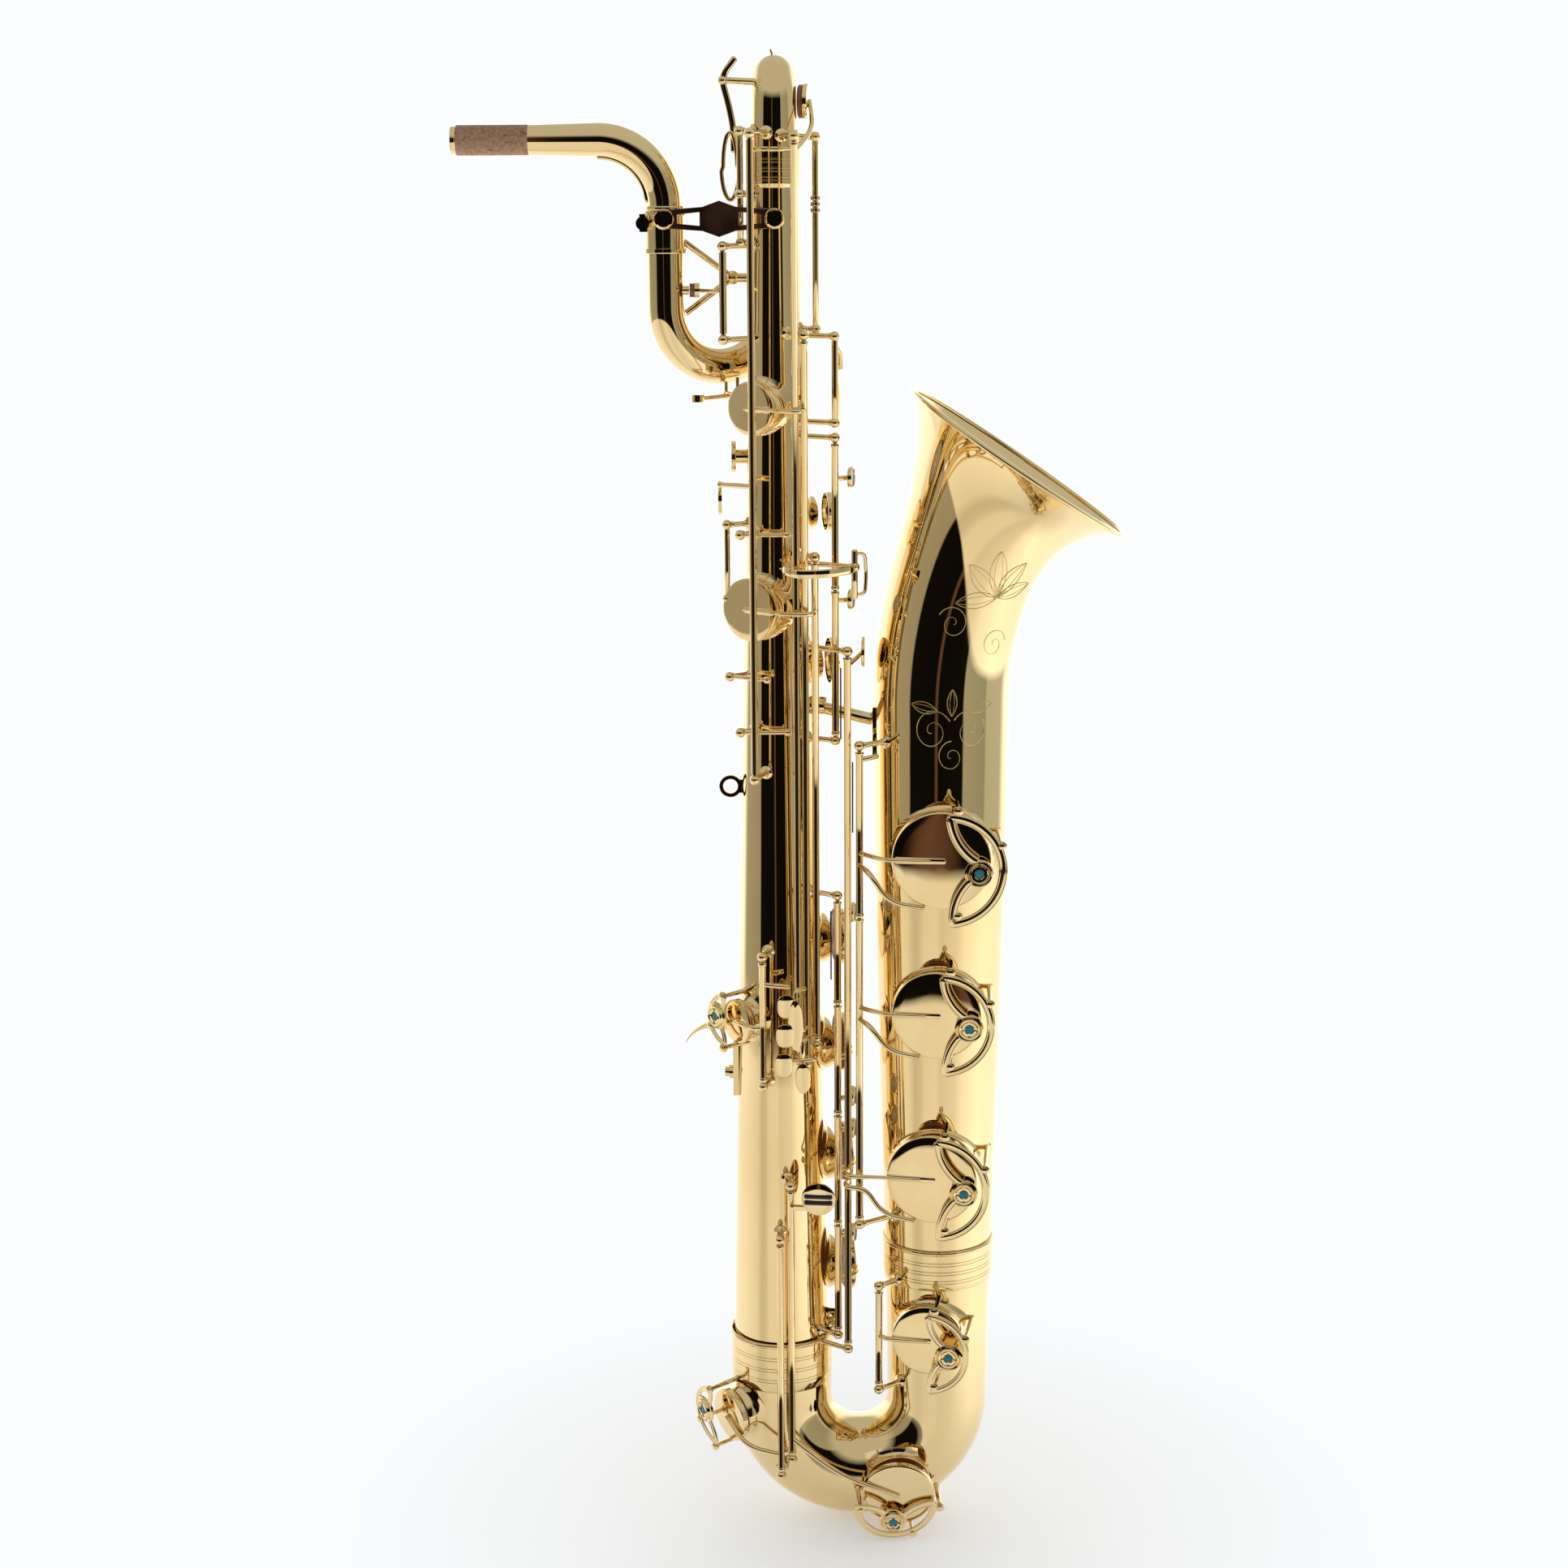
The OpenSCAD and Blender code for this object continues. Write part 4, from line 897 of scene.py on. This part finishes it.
def guard_bars(shape, k, lift, place, hub):
    """Crescent of a rolled outer band and two curved bars that meet at the bumper's hub."""
    big, up, down = (1.8 * k, -5 * k), (42 * k, 34 * k), (43 * k, -39 * k)

    def outer(p):
        return near(p, up) < 39.5 * k or near(p, down) < 38.5 * k

    def upper(p):
        return near(p, big) < 38.5 * k and near(p, down) > 37 * k and near(p, hub) > 8

    def lower(p):
        return near(p, big) < 38.5 * k and near(p, up) > 38 * k and near(p, hub) > 8

    z = lift + 0.9
    for c, rad, keep in ((big, 37.6 * k, outer), (up, 38.8 * k, upper), (down, 37.8 * k, lower)):
        line = longest_arc(c, rad, keep)
        if len(line) < 3:
            continue
        shape.add(sweep([(*p, z) for p in line], 2.5 * k + 0.5, 16, flat=0.42, up=(0, 0, 1)), place)
        for e in (-2.35 * k, 2.35 * k):
            grow = (rad + e) / rad
            edge = [(c[0] + (x - c[0]) * grow, c[1] + (y - c[1]) * grow, z + 0.35) for x, y in line]
            shape.add(sweep(edge, 0.8, 10), place)


def hub_claw(start):
    """One of the four raised quarters of the bumper's adjusting ring."""
    n, rows = 9, ((3.3, 2.0), (3.3, 3.2), (3.6, 3.5), (5.2, 3.5), (5.5, 3.2), (5.5, 2.0))
    angles = [math.radians(start + 66 * i / (n - 1)) for i in range(n)]
    verts = [(r * math.cos(a), r * math.sin(a), z) for r, z in rows for a in angles]
    count = len(rows)
    faces = [(i * n + j, i * n + j + 1, (i + 1) % count * n + j + 1, (i + 1) % count * n + j)
             for i in range(count) for j in range(n - 1)]
    faces += [tuple(i * n for i in range(count)), tuple(i * n + n - 1 for i in reversed(range(count)))]
    return verts, faces


def guard_hub(shape, place):
    """Threaded cup with its adjusting ring, and the felt in it."""
    cup = [(5.65, -1.5), (7.4, -1.5), (7.4, 0.2), (9.9, 0.3), (10.2, 0.9), (9.9, 1.7), (9.0, 2.1), (8.0, 1.6),
           (7.6, 2.2), (7.5, 3.4), (7.0, 4.0), (6.3, 4.0), (5.65, 3.4)]
    shape.add(lathe(cup, 56, True), place)
    for quarter in range(4):
        shape.add(hub_claw(quarter * 90 + 12), place)
    shape.add(lathe([(0.01, 2.0), (5.55, 2.0), (5.55, 1.0), (0.01, 1.0)], 40), place)
    shape.add(lathe([(0.01, 3.4), (1.6, 3.3), (2.8, 3.0), (3.1, 2.4), (3.1, 1.9)], 32), place, 1)


def guard(shape, r, lift, foot, place):
    """Key guard over a cup of radius r; foot gives the lengths of the two outer feet and of the front foot."""
    k = r / 34.4
    hub = (23 * k, -7 * k)
    guard_bars(shape, k, lift, place, hub)
    guard_hub(shape, place @ at(*hub, lift))
    for th, out, length in ((77, 3.6, foot[0]), (18, 6 * k, foot[1]), (-77, 3.6, foot[0])):
        low = lift - length
        leg = [(2.6, low), (2.6, low + 1), (1.8, low + 2), (1.6, lift - 2.5), (2.6, lift - 1.2), (3.3, lift - 0.3)]
        head = [(3.4, lift + 0.4), (3.4, lift + 1.4), (3.0, lift + 1.8), (2.3, lift + 1.9), (2.3, lift + 2.6),
                (1.9, lift + 2.9), (0.01, lift + 3.0)]
        shape.add(lathe(leg + head, 28), place @ rot("Z", th) @ at(r + out, 0, 0))


def guards_bell():
    k = Shape()
    for name in BELL_HOLES + ("low_c_sharp",):
        x, th, z, r = HOLES[name]
        tube = tube_at(name)
        fall = tube - math.sqrt(tube * tube - (r * 0.95 + 5.7) ** 2)
        guard(k, r, tube + 25, (28.5, 28 + fall), facing(x, th, z))
    k.make("guards_bell", "body", key_brass, felt, replaces=("bell_key_guards", "guard_bumpers"))


def guards_bow():
    x, th, z, r = HOLES["trill"]
    k = Shape()
    guard(k, LOW_C_R, 60.5, (24, 30), AT_LOW_C @ rot("Z", -90))
    guard(k, E_FLAT_R, 58, (24, 28), AT_E_FLAT @ rot("Z", 180))
    guard(k, r, tube_at("trill") + 19, (20, 25), facing(x, th, z) @ rot("Z", 180))
    k.make("guards_bow", "body", key_brass, felt, replaces=("bow_key_guards",))


guards_bell()
guards_bow()


# ---- finish of the CAD nodes that stay as they are ----
FINISH = {"hinge_rods": steel, "needle_springs": blued, "neck_brace_plate": bronze, "guard_bumpers": felt}
SOFT_EDGES = ("neck_brace_plate", "neck_receiver", "thumb_hook", "bell_brace", "strap_ring", "thumb_rest",
              "loop_brace")


def finish_for(name):
    if name in FINISH:
        return FINISH[name]
    if name.endswith("_pad"):
        return leather
    return key_brass if "key" in name or "lever" in name else brass


for name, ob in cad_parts.items():
    finish = finish_for(name)
    for s in ob.material_slots:
        s.material = finish
    if not ob.material_slots:
        ob.data.materials.append(finish)
    if name in SOFT_EDGES:
        weld = ob.modifiers.new("weld", "WELD")
        weld.merge_threshold = 0.00001
        edges = ob.modifiers.new("edges", "BEVEL")
        edges.width, edges.segments = 0.00035, 2
        edges.limit_method, edges.angle_limit = "ANGLE", math.radians(40)


# ---- floor ----
def floor_material():
    """Pale, faintly glowing floor that fades out away from the instrument."""
    m, nodes, links, b = new_material("floor_pale")
    b.inputs["Base Color"].default_value = (0.93, 0.94, 0.96, 1)
    b.inputs["Roughness"].default_value = 0.9
    b.inputs["Emission Color"].default_value = (0.95, 0.97, 1.0, 1)
    b.inputs["Emission Strength"].default_value = 0.30
    place = nodes.new("ShaderNodeTexCoord")
    reach = nodes.new("ShaderNodeVectorMath")
    reach.operation = "LENGTH"
    links.new(place.outputs["Object"], reach.inputs[0])
    fade = ramp(nodes, links, reach.outputs["Value"], [(0.10, (0, 0, 0)), (0.42, (1, 1, 1))])
    clear = nodes.new("ShaderNodeBsdfTransparent")
    both = nodes.new("ShaderNodeMixShader")
    links.new(fade, both.inputs[0])
    links.new(b.outputs[0], both.inputs[1])
    links.new(clear.outputs[0], both.inputs[2])
    links.new(both.outputs[0], nodes["Material Output"].inputs[0])
    return m


def add_floor():
    me = bpy.data.meshes.new("floor")
    verts, faces = lathe([(0.02, 0), (0.2, 0), (0.4, 0), (0.6, 0), (0.8, 0)], 64)
    me.from_pydata(verts, [], [tuple(reversed(f)) for f in faces] + [tuple(range(64))])
    me.materials.append(floor_material())
    floor = bpy.data.objects.new("floor", me)
    floor.location.z = -0.0004
    bpy.context.scene.collection.objects.link(floor)


add_floor()


# ---- camera ----
scene = bpy.context.scene
scene.view_settings.view_transform = "Standard"
cam = bpy.data.cameras.new("view")
cam.lens, cam.sensor_width, cam.clip_start = 67.1, 36, 0.05
eye = bpy.data.objects.new("view", cam)
scene.collection.objects.link(eye)
eye.matrix_world = at(-0.053, -2.005, 1.017) @ rot("X", 77) @ rot("Z", -0.36)
scene.camera = eye


# ---- world: a bright room with dark screens, which the brass reflects, and a plain backdrop ----
SCREEN, GLOW = (0.003, 0.0025, 0.002), 1.5


def azimuth_stops(rows):
    """Colour stops for a ramp over azimuths in degrees."""
    return [(0.5 + deg / 360, colour) for deg, colour in rows]


def calc(nodes, links, op, *values, clamp=False):
    n = nodes.new("ShaderNodeMath")
    n.operation = op
    n.use_clamp = clamp
    for i, v in enumerate(values):
        if isinstance(v, (int, float)):
            n.inputs[i].default_value = v
        else:
            links.new(v, n.inputs[i])
    return n.outputs[0]


def blend_colour(nodes, links, fac, a, b):
    n = nodes.new("ShaderNodeMix")
    n.data_type = "RGBA"
    links.new(fac, n.inputs["Factor"])
    for i, v in ((6, a), (7, b)):
        if isinstance(v, tuple):
            n.inputs[i].default_value = (*v, 1)
        else:
            links.new(v, n.inputs[i])
    return n.outputs[2]


def room_colour(nodes, links):
    """Walls by azimuth, a light ceiling and a light table whose tone follows the walls."""
    co = nodes.new("ShaderNodeTexCoord")
    xyz = nodes.new("ShaderNodeSeparateXYZ")
    links.new(co.outputs["Generated"], xyz.inputs[0])
    x, y, z = (xyz.outputs[axis] for axis in "XYZ")
    azimuth = calc(nodes, links, "ARCTAN2", x, calc(nodes, links, "MULTIPLY", y, -1))
    turn = calc(nodes, links, "MULTIPLY_ADD", azimuth, 0.5 / math.pi, 0.5)
    walls = ramp(nodes, links, turn, azimuth_stops([
        (-180, (1.0, 1.0, 1.0)), (-128, (0.95, 0.95, 0.94)), (-112, (0.30, 0.29, 0.26)), (-57, (0.26, 0.24, 0.20)),
        (-55, (0.004, 0.0035, 0.003)), (-13, SCREEN), (-11, (0.09, 0.045, 0.03)), (-9, (0.10, 0.05, 0.035)),
        (-7, SCREEN), (34, (0.004, 0.0035, 0.003)), (36, (0.28, 0.28, 0.25)), (76, (0.24, 0.24, 0.21)),
        (80, (0.38, 0.38, 0.35)), (116, (0.40, 0.40, 0.37)), (130, (0.95, 0.95, 0.94)), (180, (1.0, 1.0, 1.0))]))
    table = ramp(nodes, links, turn, azimuth_stops([
        (-180, (0.80, 0.79, 0.76)), (-100, (0.74, 0.72, 0.68)), (-62, (0.62, 0.60, 0.54)), (-50, (0.47, 0.45, 0.39)),
        (-40, (0.50, 0.48, 0.42)), (-30, (0.62, 0.60, 0.54)), (-8, (0.64, 0.62, 0.57)), (0, (0.56, 0.54, 0.49)),
        (28, (0.64, 0.62, 0.57)), (44, (0.80, 0.79, 0.75)), (80, (0.98, 0.98, 0.95)), (180, (0.80, 0.79, 0.76))]))
    high = calc(nodes, links, "MULTIPLY", calc(nodes, links, "SUBTRACT", z, 0.30), 4.0, clamp=True)
    down = calc(nodes, links, "MULTIPLY", z, -1)
    low = calc(nodes, links, "MULTIPLY", calc(nodes, links, "SUBTRACT", down, 0.262), 45.0, clamp=True)
    return blend_colour(nodes, links, low, blend_colour(nodes, links, high, walls, (0.40, 0.40, 0.38)), table)


def add_world():
    world = bpy.data.worlds.new("studio")
    scene.world = world
    world.use_nodes = True
    nodes, links = world.node_tree.nodes, world.node_tree.links
    nodes.clear()
    seen = nodes.new("ShaderNodeLightPath")
    backdrop = nodes.new("ShaderNodeBackground")
    backdrop.inputs["Color"].default_value = (0.965, 0.978, 1.0, 1)
    backdrop.inputs["Strength"].default_value = 1.0
    lit = nodes.new("ShaderNodeBackground")
    links.new(room_colour(nodes, links), lit.inputs["Color"])
    lit.inputs["Strength"].default_value = GLOW
    pick = nodes.new("ShaderNodeMixShader")
    links.new(seen.outputs["Is Camera Ray"], pick.inputs[0])
    links.new(lit.outputs[0], pick.inputs[1])
    links.new(backdrop.outputs[0], pick.inputs[2])
    out = nodes.new("ShaderNodeOutputWorld")
    links.new(pick.outputs[0], out.inputs[0])


add_world()
